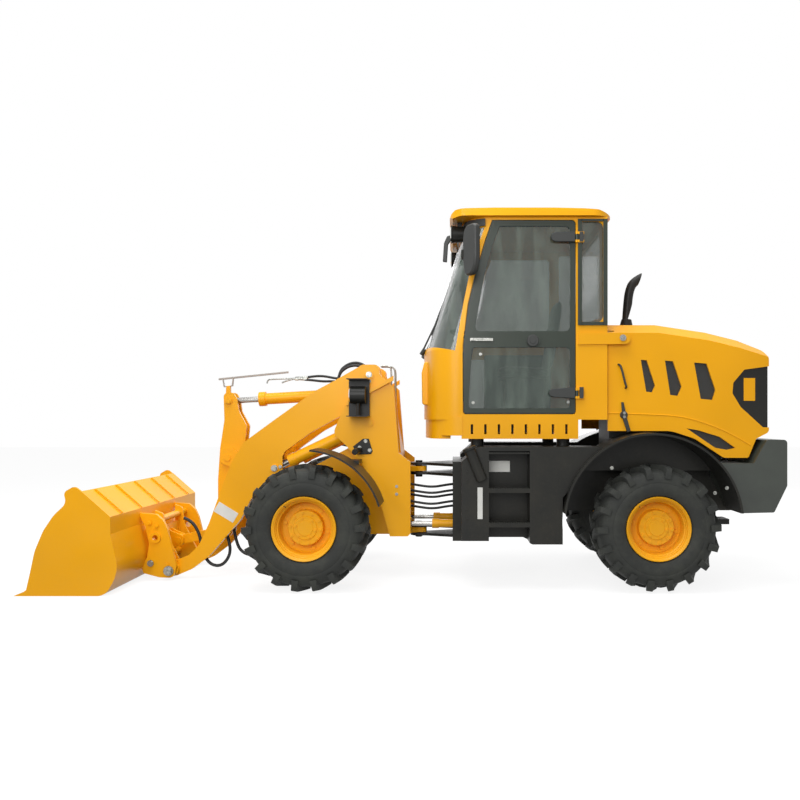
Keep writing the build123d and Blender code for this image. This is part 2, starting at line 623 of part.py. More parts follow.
def make_front_fender():
    outer = cross_pin((AXLE_FRONT, TYRE_R), 640, TRACK_HALF - 200, TRACK_HALF + 190)
    inner = cross_pin((AXLE_FRONT, TYRE_R), 626, TRACK_HALF - 220, TRACK_HALF + 210)
    ring = outer - inner
    keep = side_plate(((AXLE_FRONT, TYRE_R), (AXLE_FRONT - 760, TYRE_R + 230), (AXLE_FRONT - 760, TYRE_R + 800),
                       (AXLE_FRONT - 60, TYRE_R + 800)), 400, 1000)
    ring &= keep
    stay = block(480, 560, PLATE_OUT, TRACK_HALF - 150, 1020, 1050)
    return both(ring + stay)


def make_headlamps():
    back = block(410, 590, LAMP_SEAT, LAMP_SEAT + 8, 1420, 1744)
    shelves = block(410, 590, LAMP_SEAT, 575, 1420, 1428) + block(410, 590, LAMP_SEAT, 575, 1736, 1744)
    can = Pos(500, 495, 1606) * Rot(0, 90, 0) * Cylinder(74, 130)
    stem = upright_pin(500, 495, 14, 1427, 1560)
    return both(back + shelves + can + stem)


# ---------------------------------------------------------------- boom
ARM_ROWS = (
    (416 - 80, 1786, 70), (416 - 75, 1866, 70), (492, 1866, 60), (724, 1735, 200), (906, 1638, 300),
    (1270, 1377, 200), (1523, 1192, 150), (1627, 1012, 200), (1746, 699, 300), (1821, 490, 300), (1910, 296, 200),
    (1999, 207, 60), (2089, 170), (2196, 140, 52), (2190, 30, 52), (2103, 30, 40), (1970, 87, 80), (1821, 199, 200),
    (1545, 520, 200), (1454, 700, 100), (1246, 938), (1157, 1117, 30), (932, 1281, 200), (634, 1445, 200),
    (460, 1706, 80), (340, 1706, 70),
)


def make_arm():
    arm = side_plate(ARM_ROWS, ARM_IN, ARM_OUT)
    arm += cross_pin(ARM_PIVOT, 72, INNER_OUT + CLEAR, PLATE_IN - CLEAR)
    arm += cross_pin(ARM_NOSE, 60, 262, COUPLER_IN - CLEAR)
    arm -= cross_pin(ARM_PIVOT, PIN_R + 10 + RUN, 200, 400)
    arm -= cross_pin(ARM_NOSE, PIN_R + RUN, 200, 450)
    eye_half = LIFT_SIZES[4]
    eye_r = LIFT_SIZES[3]
    ear_rows = ((1330, 1090), (1310, 930, 50), (1244, 905, 50), (1180, 930, 50), (1180, 1140))
    for y_low, y_high in ((LIFT_Y - eye_half - CLEAR - 26, LIFT_Y - eye_half - CLEAR),
                          (LIFT_Y + eye_half + CLEAR, ARM_OUT)):
        arm += side_plate(ear_rows, y_low, y_high)
    bridge = side_plate(((1180, 1060), (1180, 1140), (1330, 1090), (1330, 1060)), LIFT_Y - eye_half - CLEAR - 26, ARM_OUT)
    arm += bridge
    room = cross_pin(LIFT_EYE, eye_r + 60, LIFT_Y - eye_half - CLEAR, LIFT_Y + eye_half + CLEAR)
    arm -= room
    for y_low, y_high in ((LIFT_Y - eye_half - CLEAR - 34, LIFT_Y - eye_half - CLEAR),
                          (LIFT_Y + eye_half + CLEAR, ARM_OUT + 8)):
        arm += cross_pin(LIFT_EYE, PIN_R, y_low, y_high)
    return arm


def make_cross_tube():
    tube = cross_pin((1480, 905), 95, -ARM_IN, ARM_IN)
    ear = side_plate(((1480, 990), (1690, 1130, 60), (1800, 1120, 60), (1800, 1000, 60), (1700, 960), (1500, 820)),
                     EAR_IN, EAR_OUT)
    return tube + both(ear) + cross_pin(CRANK_PIVOT, PIN_R, -EAR_OUT - 8, EAR_OUT + 8)


def make_bell_crank():
    rows = ((1657, 1581, 30), (1690, 1640, 40), (1780, 1640, 40), (1772, 1388, 100), (1811, 1133, 100),
            (1830, 846, 200), (1830, 330, 55), (1700, 320, 55), (1680, 700, 200), (1594, 1100, 200), (1568, 1337, 60),
            (1640, 1470, 60))
    plates = both(side_plate(rows, CRANK_IN, CRANK_OUT))
    hub = cross_pin(CRANK_PIVOT, 75, -CRANK_OUT, CRANK_OUT)
    crank = plates + hub - cross_pin(CRANK_PIVOT, PIN_R + RUN, -200, 200)
    for point in (CRANK_TOP, CRANK_LOW):
        crank += both(cross_pin(point, PIN_R, CRANK_IN, CRANK_OUT + 8))
    return crank


def make_link():
    half = 25
    axis = (LINK_PIN, CRANK_LOW)
    bar = side_plate((along(*axis, 0, 40), along(*axis, span(*axis), 40), along(*axis, span(*axis), -40),
                      along(*axis, 0, -40)), -half, half)
    link = bar + cross_pin(LINK_PIN, 52, -half, half) + cross_pin(CRANK_LOW, 52, -half, half)
    return link - cross_pin(LINK_PIN, PIN_R + RUN, -60, 60)


# ---------------------------------------------------------------- coupler and bucket
SHELL_ROWS = ((BUCKET_TIP - 60, 0), (BUCKET_HEEL, 0, 110), (2330, 190, 260), (2396, 489), (2396, 626), (2627, 829),
              (2650, 806))


def make_coupler():
    rows = ((2410, 588), (2252, 575, 30), (2192, 522, 30), (2159, 450, 40), (2080, 133, 60), (2100, 25, 50),
            (2225, 30, 30), (2364, 67, 20), (2378, 126, 20), (2333, 200, 40), (2313, 324, 60), (2347, 470, 40))
    outer = side_plate(rows, COUPLER_IN, COUPLER_OUT) - cross_pin((2258, 374), 24, 300, 500)
    inner_rows = ((2330, 588), (2260, 560, 30), (2240, 400, 60), (2120, 160, 50), (2090, 40, 50), (2225, 30, 30),
                  (2364, 67, 20), (2378, 126, 20), (2333, 200, 40), (2313, 324, 60), (2330, 470))
    inner = side_plate(inner_rows, 232, 254)
    pin = cross_pin(ARM_NOSE, PIN_R, 228, COUPLER_OUT + 8)
    ring = cross_pin((2258, 374), 47, COUPLER_OUT, COUPLER_OUT + 14) - cross_pin((2258, 374), 24, 300, 500)
    ears = side_plate(((2330, 420), (2250, 370, 40), (2150, 330, 40), (2150, 250, 40), (2260, 220, 40), (2330, 200)),
                      31, 53)
    coupler = both(outer + inner + pin + ring + ears)
    coupler += cross_pin((2300, 506), 30, -COUPLER_IN, COUPLER_IN)
    coupler += cross_pin((2300, 156), 34, -COUPLER_IN, COUPLER_IN)
    back = side_plate(((2290, 440), (2306, 440), (2306, 200), (2290, 200)), -240, 240)
    coupler += back + cross_pin(LINK_PIN, PIN_R, -60, 60)
    return coupler - side_prism(outline(SHELL_ROWS), -COUPLER_OUT - 20, COUPLER_OUT + 20)


def make_bucket():
    face = outline(SHELL_ROWS)
    outer = side_prism(face, -BUCKET_HALF + BUCKET_SIDE, BUCKET_HALF - BUCKET_SIDE)
    core = side_prism(offset(face, amount=-BUCKET_WALL, kind=Kind.INTERSECTION), -BUCKET_HALF, BUCKET_HALF)
    front = (0.837, 0.547)
    shell = outer - core - Pos(40 * front[0], 0, 40 * front[1]) * core
    side_rows = ((BUCKET_TIP, 0), (3063, 41), (3029, 190, 100), (2995, 353, 300), (2927, 516, 300), (2845, 638, 300),
                 (2743, 734, 200), (2766, 820, 40), (2680, 870, 40), (2610, 815), (2396, 626), (2396, 489),
                 (2330, 190, 260), (BUCKET_HEEL, 0, 110))
    sides = both(side_plate(side_rows, BUCKET_HALF - BUCKET_SIDE, BUCKET_HALF))
    ledge = side_plate(((2396, 489), (2396, 626), (2490, 626), (2400, 489)), -BUCKET_HALF + BUCKET_SIDE,
                       BUCKET_HALF - BUCKET_SIDE)
    lip = side_plate(((BUCKET_TIP, 0), (3063, 41), (2960, 41), (2960, 0)), -BUCKET_HALF + BUCKET_SIDE,
                     BUCKET_HALF - BUCKET_SIDE)
    return shell + sides + ledge - lip, lip


# ---------------------------------------------------------------- build
parts["rear_chassis"] = make_rear_chassis()
parts["rear_axle"] = make_axle(AXLE_REAR)
parts["side_box_left"] = make_side_box(1)
parts["side_box_right"] = make_side_box(-1)
parts["counterweight"] = make_counterweight()
parts["rear_fenders"] = make_rear_fender(parts["counterweight"])
parts["engine_block"] = block(-2700, -1700, -240, 240, ENGINE_LOW, 1500)
parts["cab_shell"], parts["cab_glass"] = make_cab()
parts["cab_shell"] += make_door_hinges()
parts["door_frame"], parts["door_glass"] = make_door()
parts["cab_roof"] = make_roof()
parts["cab_skirt"] = make_skirt()
parts["cab_mounts"] = make_cab_mounts()
parts["seat"], parts["steering_column"], parts["side_console"] = make_interior()
parts["hood_straps"] = make_straps()
parts["hood_shell"], parts["hood_grille"], parts["vent_screens"], parts["hood_cowl"] = make_hood()
parts["exhaust_pipe"] = make_exhaust()
parts["tower_frame"] = make_tower()
parts["front_axle"] = make_axle(AXLE_FRONT)
parts["front_fenders"] = make_front_fender()
parts["headlamps"] = make_headlamps()
arm = make_arm()
parts["arm_left"] = arm
parts["arm_right"] = mirror(arm, about=Plane.XZ)
parts["cross_tube"] = make_cross_tube()
parts["bell_crank"] = make_bell_crank()
parts["tilt_link"] = make_link()
parts["coupler"] = make_coupler()
parts["bucket_shell"], parts["cutting_edge"] = make_bucket()

tilt_long = span(TILT_BASE, CRANK_TOP)
parts["tilt_barrel"] = lay(barrel(tilt_long, tilt_long - 270, 760, TILT_SIZES, PIN_R), TILT_BASE, CRANK_TOP, 0)
parts["tilt_rod"] = lay(rod(tilt_long, tilt_long - 270 - 500, TILT_SIZES), TILT_BASE, CRANK_TOP, 0)
lift_long = span(LIFT_BASE, LIFT_EYE)
for name, side in (("left", 1), ("right", -1)):
    parts["lift_barrel_" + name] = lay(barrel(lift_long, lift_long - 130, 700, LIFT_SIZES, PIN_R), LIFT_BASE,
                                       LIFT_EYE, side * LIFT_Y)
    parts["lift_rod_" + name] = lay(rod(lift_long, lift_long - 130 - 640, LIFT_SIZES), LIFT_BASE, LIFT_EYE,
                                    side * LIFT_Y)
    steer_long = STEER_EYE_X - STEER_BASE_X
    place = Pos(STEER_BASE_X, side * STEER_Y, STEER_Z) * Rot(90, 0, 0)
    parts["steer_barrel_" + name] = place * barrel(steer_long, steer_long - 218, 340, STEER_SIZES, 18)
    parts["steer_rod_" + name] = place * rod(steer_long, steer_long - 218 - 180, STEER_SIZES)

tyre = make_tyre()
rim = make_rim()
for place_name, x in (("front", AXLE_FRONT), ("rear", AXLE_REAR)):
    for name, side in (("left", 1), ("right", -1)):
        parts["tyre_" + place_name + "_" + name] = wheel_at(tyre, x, side)
        parts["rim_" + place_name + "_" + name] = wheel_at(rim, x, side)

os.makedirs("parts", exist_ok=True)
for name, solid in parts.items():
    export_step(Pos(-X_MID, 0, 0) * solid, "parts/" + name + ".step")
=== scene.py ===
# %% [markdown]
# # Dressing a wheel loader
#
# The loader's steel is already drawn as solids: chassis, boom, cab, hood, wheels.
# Here they get their paint, rubber and glass, and the pieces that a solid modeller
# does not bother with: tread blocks, bolts, hoses, wipers, mesh and trim.
# Everything stands in the frame of the solids, which is in metres, with +X forward,
# +Y to the machine's left and +Z up.

# %% The frame
import bmesh
import bpy
import json
from math import cos, pi, radians, sin, tau
from mathutils import Matrix, Vector


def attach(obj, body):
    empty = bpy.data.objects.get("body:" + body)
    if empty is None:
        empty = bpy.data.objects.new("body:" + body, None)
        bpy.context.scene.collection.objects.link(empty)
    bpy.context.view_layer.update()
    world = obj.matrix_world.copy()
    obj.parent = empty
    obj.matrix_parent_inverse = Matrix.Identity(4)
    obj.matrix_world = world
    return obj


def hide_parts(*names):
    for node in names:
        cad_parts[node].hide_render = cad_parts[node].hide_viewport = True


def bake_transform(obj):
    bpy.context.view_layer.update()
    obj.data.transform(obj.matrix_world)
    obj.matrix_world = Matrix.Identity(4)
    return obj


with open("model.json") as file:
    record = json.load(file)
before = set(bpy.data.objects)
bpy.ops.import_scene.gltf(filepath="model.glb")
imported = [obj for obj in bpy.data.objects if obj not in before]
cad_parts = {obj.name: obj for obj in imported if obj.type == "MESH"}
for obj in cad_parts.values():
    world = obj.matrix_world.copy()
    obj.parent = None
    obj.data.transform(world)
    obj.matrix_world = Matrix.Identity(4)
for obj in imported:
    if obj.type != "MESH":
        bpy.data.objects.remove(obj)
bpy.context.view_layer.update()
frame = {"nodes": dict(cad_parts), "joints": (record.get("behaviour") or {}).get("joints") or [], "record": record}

nodes = frame["nodes"]

# %% [markdown]
# ## Where the machine is looked at from
#
# A side view from seven metres away, not much more than the machine's length, keeps
# a natural perspective: the near wheels cover the far ones, and a little of the roof's
# underside shows. The lens is shifted rather than tilted, so uprights stay upright.

# %% Camera
SENSOR, LENS = 36.0, 34.54
SHIFT = (-0.06625, 0.0225)
EYE = Vector((-0.3635, 7.065, 1.408))
camera = bpy.data.objects.new("camera", bpy.data.cameras.new("camera"))
bpy.context.scene.collection.objects.link(camera)
bpy.context.scene.camera = camera
camera.location = EYE
camera.rotation_euler = (pi / 2, 0, pi)
camera.data.sensor_width, camera.data.lens = SENSOR, LENS
camera.data.shift_x, camera.data.shift_y = SHIFT
camera.data.clip_end = 200
print("eye", tuple(EYE))

# %% [markdown]
# ## A small language for finishes
#
# Shader nodes are easier to read as sums than as boxes and wires. `Flow` wraps one
# socket, and adding or multiplying two of them lays a Math node.

# %% Flow
class Flow:
    """A number or colour on its way through a finish's nodes."""

    def __init__(self, finish, socket):
        self.finish, self.socket = finish, socket

    def _math(self, operation, *values):
        return self.finish.node("ShaderNodeMath", {"operation": operation}, *values)

    def __add__(self, other):
        return self._math("ADD", self, other)

    def __rsub__(self, other):
        return self._math("SUBTRACT", other, self)

    def __mul__(self, other):
        return self._math("MULTIPLY", self, other)

    def above(self, low, high):
        """0 below low, 1 above high, a straight rise between."""
        return self.finish.node("ShaderNodeMapRange", {"clamp": True}, self, low, high)

    __radd__, __rmul__ = __add__, __mul__


print("sums on sockets: +, *, 1 - x and above")

# %% [markdown]
# `Finish` is a material with short words for the nodes that paints need: noise,
# mixes and bumps. A pattern reads the object's own coordinates, so it stays on the
# piece when the piece moves.

# %% Finish
class Finish:
    """A material, its Principled shader, and short words for its nodes."""

    def __init__(self, name):
        self.material = bpy.data.materials.new(name)
        self.material.use_nodes = True
        self.tree = self.material.node_tree
        self.shader = self.tree.nodes["Principled BSDF"]

    def node(self, kind, settings, *inputs, out=0, **named):
        """Lays a node: its settings first, then its sockets in their order or by name."""
        made = self.tree.nodes.new(kind)
        for key, value in settings.items():
            setattr(made, key, value)
        for socket, value in zip([socket for socket in made.inputs if socket.enabled], inputs):
            self.feed(socket, value)
        for key, value in named.items():
            self.feed(made.inputs[key], value)
        outputs = [socket for socket in made.outputs if socket.enabled]
        return Flow(self, outputs[out] if isinstance(out, int) else made.outputs[out])

    def feed(self, socket, value):
        if isinstance(value, Flow):
            self.tree.links.new(value.socket, socket)
        elif isinstance(value, tuple) and socket.type == "RGBA":
            socket.default_value = (*value, 1)
        else:
            socket.default_value = value

    def set(self, **values):
        """Plain numbers go on the shader's own sockets, flows are linked to them."""
        for key, value in values.items():
            label = key.replace("_", " ").title().replace("Ior", "IOR")
            self.feed(self.shader.inputs[label], value)

    def place(self):
        return self.node("ShaderNodeTexCoord", {}, out="Object")

    def up(self):
        return self.node("ShaderNodeSeparateXYZ", {}, self.place(), out="Z")

    def noise(self, scale, detail=3.0, rough=0.55, stretch=(1, 1, 1)):
        where = self.node("ShaderNodeMapping", {}, self.place(), Scale=stretch)
        return self.node("ShaderNodeTexNoise", {}, where, Scale=scale, Detail=detail, Roughness=rough)

    def mix(self, factor, first, second):
        """One colour into another; a Mix node's colours are its sockets 6 and 7."""
        made = self.tree.nodes.new("ShaderNodeMix")
        made.data_type = "RGBA"
        for number, value in ((0, factor), (6, first), (7, second)):
            self.feed(made.inputs[number], value)
        return Flow(self, made.outputs[2])

    def bump(self, height, strength, distance=0.001):
        return self.node("ShaderNodeBump", {}, Height=height, Strength=strength, Distance=distance)


print("words of a finish:", [word for word in vars(Finish) if word[0] != "_"])

# %% [markdown]
# Colours are easiest to judge as a screen shows them, from 0 to 255, but a shader
# wants the light behind them.

# %% Colours
def linear(red, green, blue):
    """A screen colour, 0 to 255, as the light that it stands for."""
    return tuple(((c / 255 + 0.055) / 1.055) ** 2.4 if c > 10 else c / 3295
                 for c in (red, green, blue))


print("mid grey on the screen is", round(linear(128, 128, 128)[0], 3), "of full light")

# %% [markdown]
# ## Paint
#
# Machine paint is thick, glossy and never quite even: a slow drift in tone, a fine
# orange-peel skin, a breath of dust that gathers low down and on ledges. One
# function makes all the painted finishes, from a colour and how dusty it is.

# %% Painted finishes
DUST = linear(150, 138, 112)


def painted(name, colour, gloss, dust, deep=0.86):
    """gloss is the least roughness, dust the thickest film, deep the darker tone's share."""
    finish = Finish(name)
    drift = finish.noise(0.9, 2).above(0.35, 0.65)
    tone = finish.mix(drift, tuple(c * deep for c in colour), colour)
    low = 1 - finish.up().above(0.1, 1.6)
    specks = finish.noise(38, 5, 0.7).above(0.52, 0.8)
    settled = finish.noise(3.5, 4).above(0.3, 0.75)
    film = (low * 0.7 + 0.3) * (settled * 0.6 + specks * 0.4) * dust
    tone = finish.mix(film, tone, DUST)
    peel = finish.noise(260, 2)
    finish.set(base_color=tone, roughness=film * 0.5 + gloss + finish.noise(6, 3) * 0.06,
               coat_weight=0.05, coat_roughness=0.12, specular_ior_level=0.22,
               normal=finish.bump(peel, 0.06, 0.0006))
    return finish.material


yellow = painted("yellow_paint", linear(255, 180, 8), 0.30, 0.10)
wheel_yellow = painted("wheel_paint", linear(250, 176, 10), 0.36, 0.22)
black = painted("black_paint", linear(30, 31, 29), 0.36, 0.10, 0.8)
engine_grey = painted("engine_paint", linear(70, 74, 74), 0.45, 0.35)
print("painted finishes:", [m.name for m in (yellow, wheel_yellow, black, engine_grey)])

# %% [markdown]
# ## Cast iron, rubber, glass
#
# The counterweight is cast and painted dark, so its skin is rougher and shows the
# sand of the mould. Tyre rubber is nearly black with a chalky bloom. The cab's
# glass is tinted grey green, lets about half the light through, and carries painted reflections.

# %% Cast iron, rubber and glass
def cast_iron():
    finish = Finish("cast_grey")
    sand = finish.noise(90, 6, 0.7)
    drift = finish.noise(2.2, 3).above(0.3, 0.7)
    tone = finish.mix(drift, linear(44, 48, 43), linear(62, 68, 60))
    finish.set(base_color=tone, roughness=sand * 0.25 + 0.30, coat_weight=0.25,
               coat_roughness=0.3, normal=finish.bump(sand, 0.35, 0.0015))
    return finish.material


def rubber():
    finish = Finish("tyre_rubber")
    grain = finish.noise(420, 3, 0.6)
    bloom = finish.noise(7, 5, 0.65).above(0.42, 0.75)
    tone = finish.mix(bloom * 0.5, linear(31, 33, 30), linear(66, 68, 60))
    finish.set(base_color=tone, roughness=0.66 + grain * 0.2,
               normal=finish.bump(grain, 0.25, 0.0008))
    return finish.material


def window_glass():
    finish = Finish("cab_window")
    # The lighter, more opaque patches in this mix are painted reflections of the surroundings on the glass.
    painted_reflection = finish.noise(3.0, 4, 0.6, (2.5, 2.5, 0.6)).above(0.45, 0.8)
    tone = finish.mix(painted_reflection, linear(66, 80, 72), linear(112, 128, 116))
    finish.set(base_color=tone, roughness=0.04, alpha=painted_reflection * 0.12 + 0.50, coat_weight=1.0,
               coat_roughness=0.02)
    return finish.material


cast, tyre_black, glass = cast_iron(), rubber(), window_glass()
print("finishes:", cast.name, tyre_black.name, glass.name)

# %% [markdown]
# Ground steel on the bucket's edge keeps the marks of the grinder and the yellow of
# what is left of its paint. The rods are hard chrome, the seat is woven, and trim
# and hoses share one function for moulded plastic and rubber.

# %% Steel, chrome, cloth and plastic
def ground_steel():
    finish = Finish("edge_steel")
    marks = finish.noise(30, 4, 0.6, (1, 14, 1))
    wear = finish.noise(9, 4).above(0.35, 0.7)
    tone = finish.mix(wear, linear(150, 128, 62), linear(212, 160, 30))
    finish.set(base_color=tone, metallic=0.0, roughness=marks * 0.2 + 0.38,
               normal=finish.bump(marks, 0.25))
    return finish.material


def chrome():
    finish = Finish("chrome_rod")
    film = finish.noise(14, 3).above(0.4, 0.8)
    tone = finish.mix(film, linear(168, 166, 162), linear(118, 116, 112))
    finish.set(base_color=tone, metallic=0.8, roughness=film * 0.12 + 0.16)
    return finish.material


def woven_seat():
    finish = Finish("seat_cloth")
    weft = finish.node("ShaderNodeTexWave", {"bands_direction": "Y"}, finish.place(), Scale=160.0)
    warp = finish.node("ShaderNodeTexWave", {"bands_direction": "DIAGONAL"}, finish.place(),
                       Scale=150.0)
    weave = weft * warp
    tone = finish.mix(weave, linear(34, 35, 37), linear(62, 64, 66))
    finish.set(base_color=tone, roughness=0.85, sheen_weight=0.3,
               normal=finish.bump(weave, 0.4, 0.0008))
    return finish.material


def moulded(name, colour, rough):
    finish = Finish(name)
    grain = finish.noise(340, 3, 0.6)
    tone = finish.mix(finish.noise(4, 3).above(0.3, 0.7), tuple(c * 0.8 for c in colour), colour)
    finish.set(base_color=tone, roughness=grain * 0.15 + rough,
               normal=finish.bump(grain, 0.2, 0.0006))
    return finish.material


steel, bright, cloth = ground_steel(), chrome(), woven_seat()
plastic = moulded("trim_plastic", linear(38, 40, 38), 0.42)
hose_black = moulded("hose_rubber", linear(24, 25, 25), 0.5)
print("finishes:", [m.name for m in (steel, bright, cloth, plastic, hose_black)])

# %% [markdown]
# The record names a slot for every solid, and each slot now gets its finish.

# %% Finishes on the solids
SLOTS = {
    "yellow_paint": yellow, "rim_paint": wheel_yellow, "tyre_rubber": tyre_black,
    "black_paint": black, "counterweight_grey": cast, "engine_grey": engine_grey,
    "cab_window": glass, "edge_steel": steel, "chrome_rod": bright, "seat_cover": cloth,
    "trim_plastic": plastic,
}


def wear(obj, material):
    obj.data.materials.clear()
    obj.data.materials.append(material)


for row in frame["record"]["subparts"]:
    wear(nodes[row["node"]], SLOTS[row["material_slot"]])

# %% [markdown]
# ## Helpers for pieces
#
# Sizes on the machine are easiest to think of in millimetres from the steering
# pivot, so `at` turns those into the frame's metres. A piece is drawn with a few
# plain shapes in one bmesh: plates cut to an outline, bars, and turned shapes.

# %% Places and plates
STEER_X = next(j["pos_m"][0] for j in frame["joints"] if j["name"] == "steer")


def at(x, y, z):
    return Vector((x / 1000 + STEER_X, y / 1000, z / 1000))


def prism(bm, rings):
    """Closes two like outlines, given as places, into a solid."""
    rings = [[bm.verts.new(place) for place in ring] for ring in rings]
    bm.faces.new(rings[0])
    bm.faces.new(rings[1][::-1])
    for i in range(len(rings[0])):
        j = (i + 1) % len(rings[0])
        bm.faces.new((rings[0][i], rings[0][j], rings[1][j], rings[1][i]))


def plate(bm, rows, y_low, y_high):
    """An upright plate: its outline in the side view, standing from y_low to y_high."""
    prism(bm, [[at(x, y, z) for x, z in rows] for y in (y_low, y_high)])


def plan(bm, rows, z_low, z_high):
    """A level plate from its outline seen from above."""
    prism(bm, [[at(x, y, z) for x, y in rows] for z in (z_low, z_high)])


def slab(bm, x_low, x_high, y_low, y_high, z_low, z_high):
    plate(bm, ((x_low, z_low), (x_high, z_low), (x_high, z_high), (x_low, z_high)), y_low, y_high)


print("pivot of the steering at x =", STEER_X)

# %% [markdown]
# A bar is a cone or cylinder laid between two places. A turned shape is a row of
# rings across the machine, each joined to the next and the last to the first. Where
# the rows begin and end on the axis, it closes there in a point instead.

# %% Bars and turned shapes
def rod(bm, start, end, radius, sides=20, tip=None):
    """Round bar between two places, or a cone where the tip's radius is given."""
    start, end = at(*start), at(*end)
    line = end - start
    turn = line.to_track_quat("Z", "Y").to_matrix().to_4x4()
    bmesh.ops.create_cone(bm, cap_ends=True, segments=sides, radius1=radius / 1000,
                          radius2=(radius if tip is None else tip) / 1000, depth=line.length,
                          matrix=Matrix.Translation((start + end) / 2) @ turn)


def lathe(bm, rows, sides, centre=Vector(), mirrored=1):
    """A closed shape turned about the Y axis, from rows of distance across and radius."""
    rings = []
    for across, radius in rows:
        y, radius = mirrored * across / 1000, radius / 1000
        angles = [tau * k / sides for k in range(sides if radius else 1)]
        rings.append([bm.verts.new(centre + Vector((radius * sin(a), y, radius * cos(a))))
                      for a in angles])
    for first, second in zip(rings, rings[1:] + (rings[:1] if len(rings[0]) > 1 else [])):
        for k in range(sides):
            j = (k + 1) % sides
            corners = [first[k % len(first)], first[j % len(first)], second[j % len(second)],
                       second[k % len(second)]]
            bm.faces.new(list(dict.fromkeys(corners)))


print("plain shapes:", [shape.__name__ for shape in (plate, plan, slab, rod, lathe)])

# %% [markdown]
# `make` draws a piece's shapes one after the other, merges doubles, turns the faces
# outwards, rounds the edges a little and hands the piece to the body that carries
# it. `baked` turns what an object's modifiers give into a plain mesh.

# %% From drawing to piece
def link(name, data):
    obj = bpy.data.objects.new(name, data)
    bpy.context.scene.collection.objects.link(obj)
    return obj


def soften(mesh, degrees):
    """Smooth shading that keeps every edge sharper than the angle."""
    mesh.shade_smooth()
    mesh.set_sharp_from_angle(angle=radians(degrees))


def as_object(name, bm, smooth=35):
    bmesh.ops.remove_doubles(bm, verts=bm.verts, dist=1e-5)
    bmesh.ops.recalc_face_normals(bm, faces=bm.faces)
    mesh = bpy.data.meshes.new(name)
    bm.to_mesh(mesh)
    bm.free()
    soften(mesh, smooth)
    return link(name, mesh)


BEVEL_STEPS, BEVEL_FROM = 2, 30  # an edge sharper than 30 degrees is rounded in two steps


def make(name, body, material, *shapes, bevel=0.0, smooth=35):
    """A piece from shapes, each a drawing function and its sizes."""
    bm = bmesh.new()
    for draw, *sizes in shapes:
        draw(bm, *sizes)
    obj = as_object(name, bm, smooth)
    if bevel:
        edge = obj.modifiers.new("edge", "BEVEL")
        edge.width, edge.segments, edge.limit_method = bevel, BEVEL_STEPS, "ANGLE"
        edge.angle_limit = radians(BEVEL_FROM)
    wear(obj, material)
    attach(obj, body)
    return obj


def baked(obj, name):
    """The object as its modifiers leave it, as a plain mesh object."""
    bpy.context.view_layer.update()
    seen = obj.evaluated_get(bpy.context.evaluated_depsgraph_get())
    made = link(name, bpy.data.meshes.new_from_object(seen))
    bpy.data.objects.remove(obj)
    made.name = name
    return made


print("a piece is made with", make.__name__)

# %% [markdown]
# ## More finishes
#
# Zinc-plated bolts, the mirrors' silver, the lamps' reflectors, the door's grey paint,
# blank white labels, and the fine wire screens behind the vents.

# %% Small finishes
def zinc():
    finish = Finish("zinc_plate")
    film = finish.noise(60, 4).above(0.4, 0.7)
    tone = finish.mix(film, linear(168, 168, 162), linear(112, 114, 110))
    finish.set(base_color=tone, metallic=0.7, roughness=film * 0.2 + 0.24)
    return finish.material


def screen_mesh():
    finish = Finish("vent_mesh")
    where = finish.node("ShaderNodeMapping", {}, finish.place(), Scale=(150.0, 150.0, 150.0))
    grid = finish.node("ShaderNodeTexChecker", {}, where, Scale=1.0, out="Fac")
    tone = finish.mix(grid, linear(20, 20, 19), linear(52, 52, 50))
    finish.set(base_color=tone, roughness=0.6, normal=finish.bump(grid, 0.8, 0.002))
    return finish.material


def silvered(name, shade, rough):
    finish = Finish(name)
    haze = finish.noise(9, 3).above(0.4, 0.8)
    tone = finish.mix(haze, shade, tuple(c * 0.8 for c in shade))
    finish.set(base_color=tone, metallic=0.95, roughness=haze * 0.08 + rough)
    return finish.material


zinc_plate, vent_mesh = zinc(), screen_mesh()
mirror_silver = silvered("mirror_silver", linear(190, 198, 200), 0.03)
reflector = silvered("lamp_reflector", linear(225, 226, 222), 0.16)
door_grey = painted("door_frame_paint", linear(60, 67, 60), 0.22, 0.06, 0.9)
steel_bar = moulded("level_bar_steel", linear(172, 163, 154), 0.36)
label_white = moulded("blank_label", linear(232, 232, 226), 0.5)
exhaust_black = painted("exhaust_black", linear(24, 24, 24), 0.5, 0.2, 0.8)
wear(nodes["door_frame"], door_grey)
wear(nodes["vent_screens"], vent_mesh)
wear(nodes["exhaust_pipe"], exhaust_black)
print("small finishes:", zinc_plate.name, vent_mesh.name, mirror_silver.name, reflector.name)

# %% [markdown]
# ## Bolts from one pattern
#
# Bolt heads and pin ends are alike but for their size and number of sides. A
# geometry-nodes tree puts a washer and a head on each point of a small cloud, turned
# to the way that the point faces. These few words lay such a tree.

# %% Words for node trees
def new_tree(name, **inputs):
    """A tree that takes a geometry and the named inputs, each given with its kind."""
    tree = bpy.data.node_groups.new(name, "GeometryNodeTree")
    for label, kind in {"Geometry": "Geometry", **inputs}.items():
        tree.interface.new_socket(name=label, in_out="INPUT", socket_type="NodeSocket" + kind)
    tree.interface.new_socket(name="Geometry", in_out="OUTPUT", socket_type="NodeSocketGeometry")
    return tree, tree.nodes.new("NodeGroupInput").outputs, tree.nodes.new("NodeGroupOutput")


def give(tree, socket, value):
    if isinstance(value, bpy.types.NodeSocket):
        tree.links.new(value, socket)
    else:
        socket.default_value = value


def lay_node(tree, kind, settings=None, **sockets):
    """One node; a socket's value is a plain value or another node's output."""
    made = tree.nodes.new(kind)
    for key, value in (settings or {}).items():
        setattr(made, key, value)
    for key, value in sockets.items():
        give(tree, made.inputs[key.replace("_", " ")], value)
    return made.outputs


def joined(tree, *parts):
    made = tree.nodes.new("GeometryNodeJoinGeometry")
    for part in parts:
        tree.links.new(part, made.inputs[0])
    return made.outputs[0]


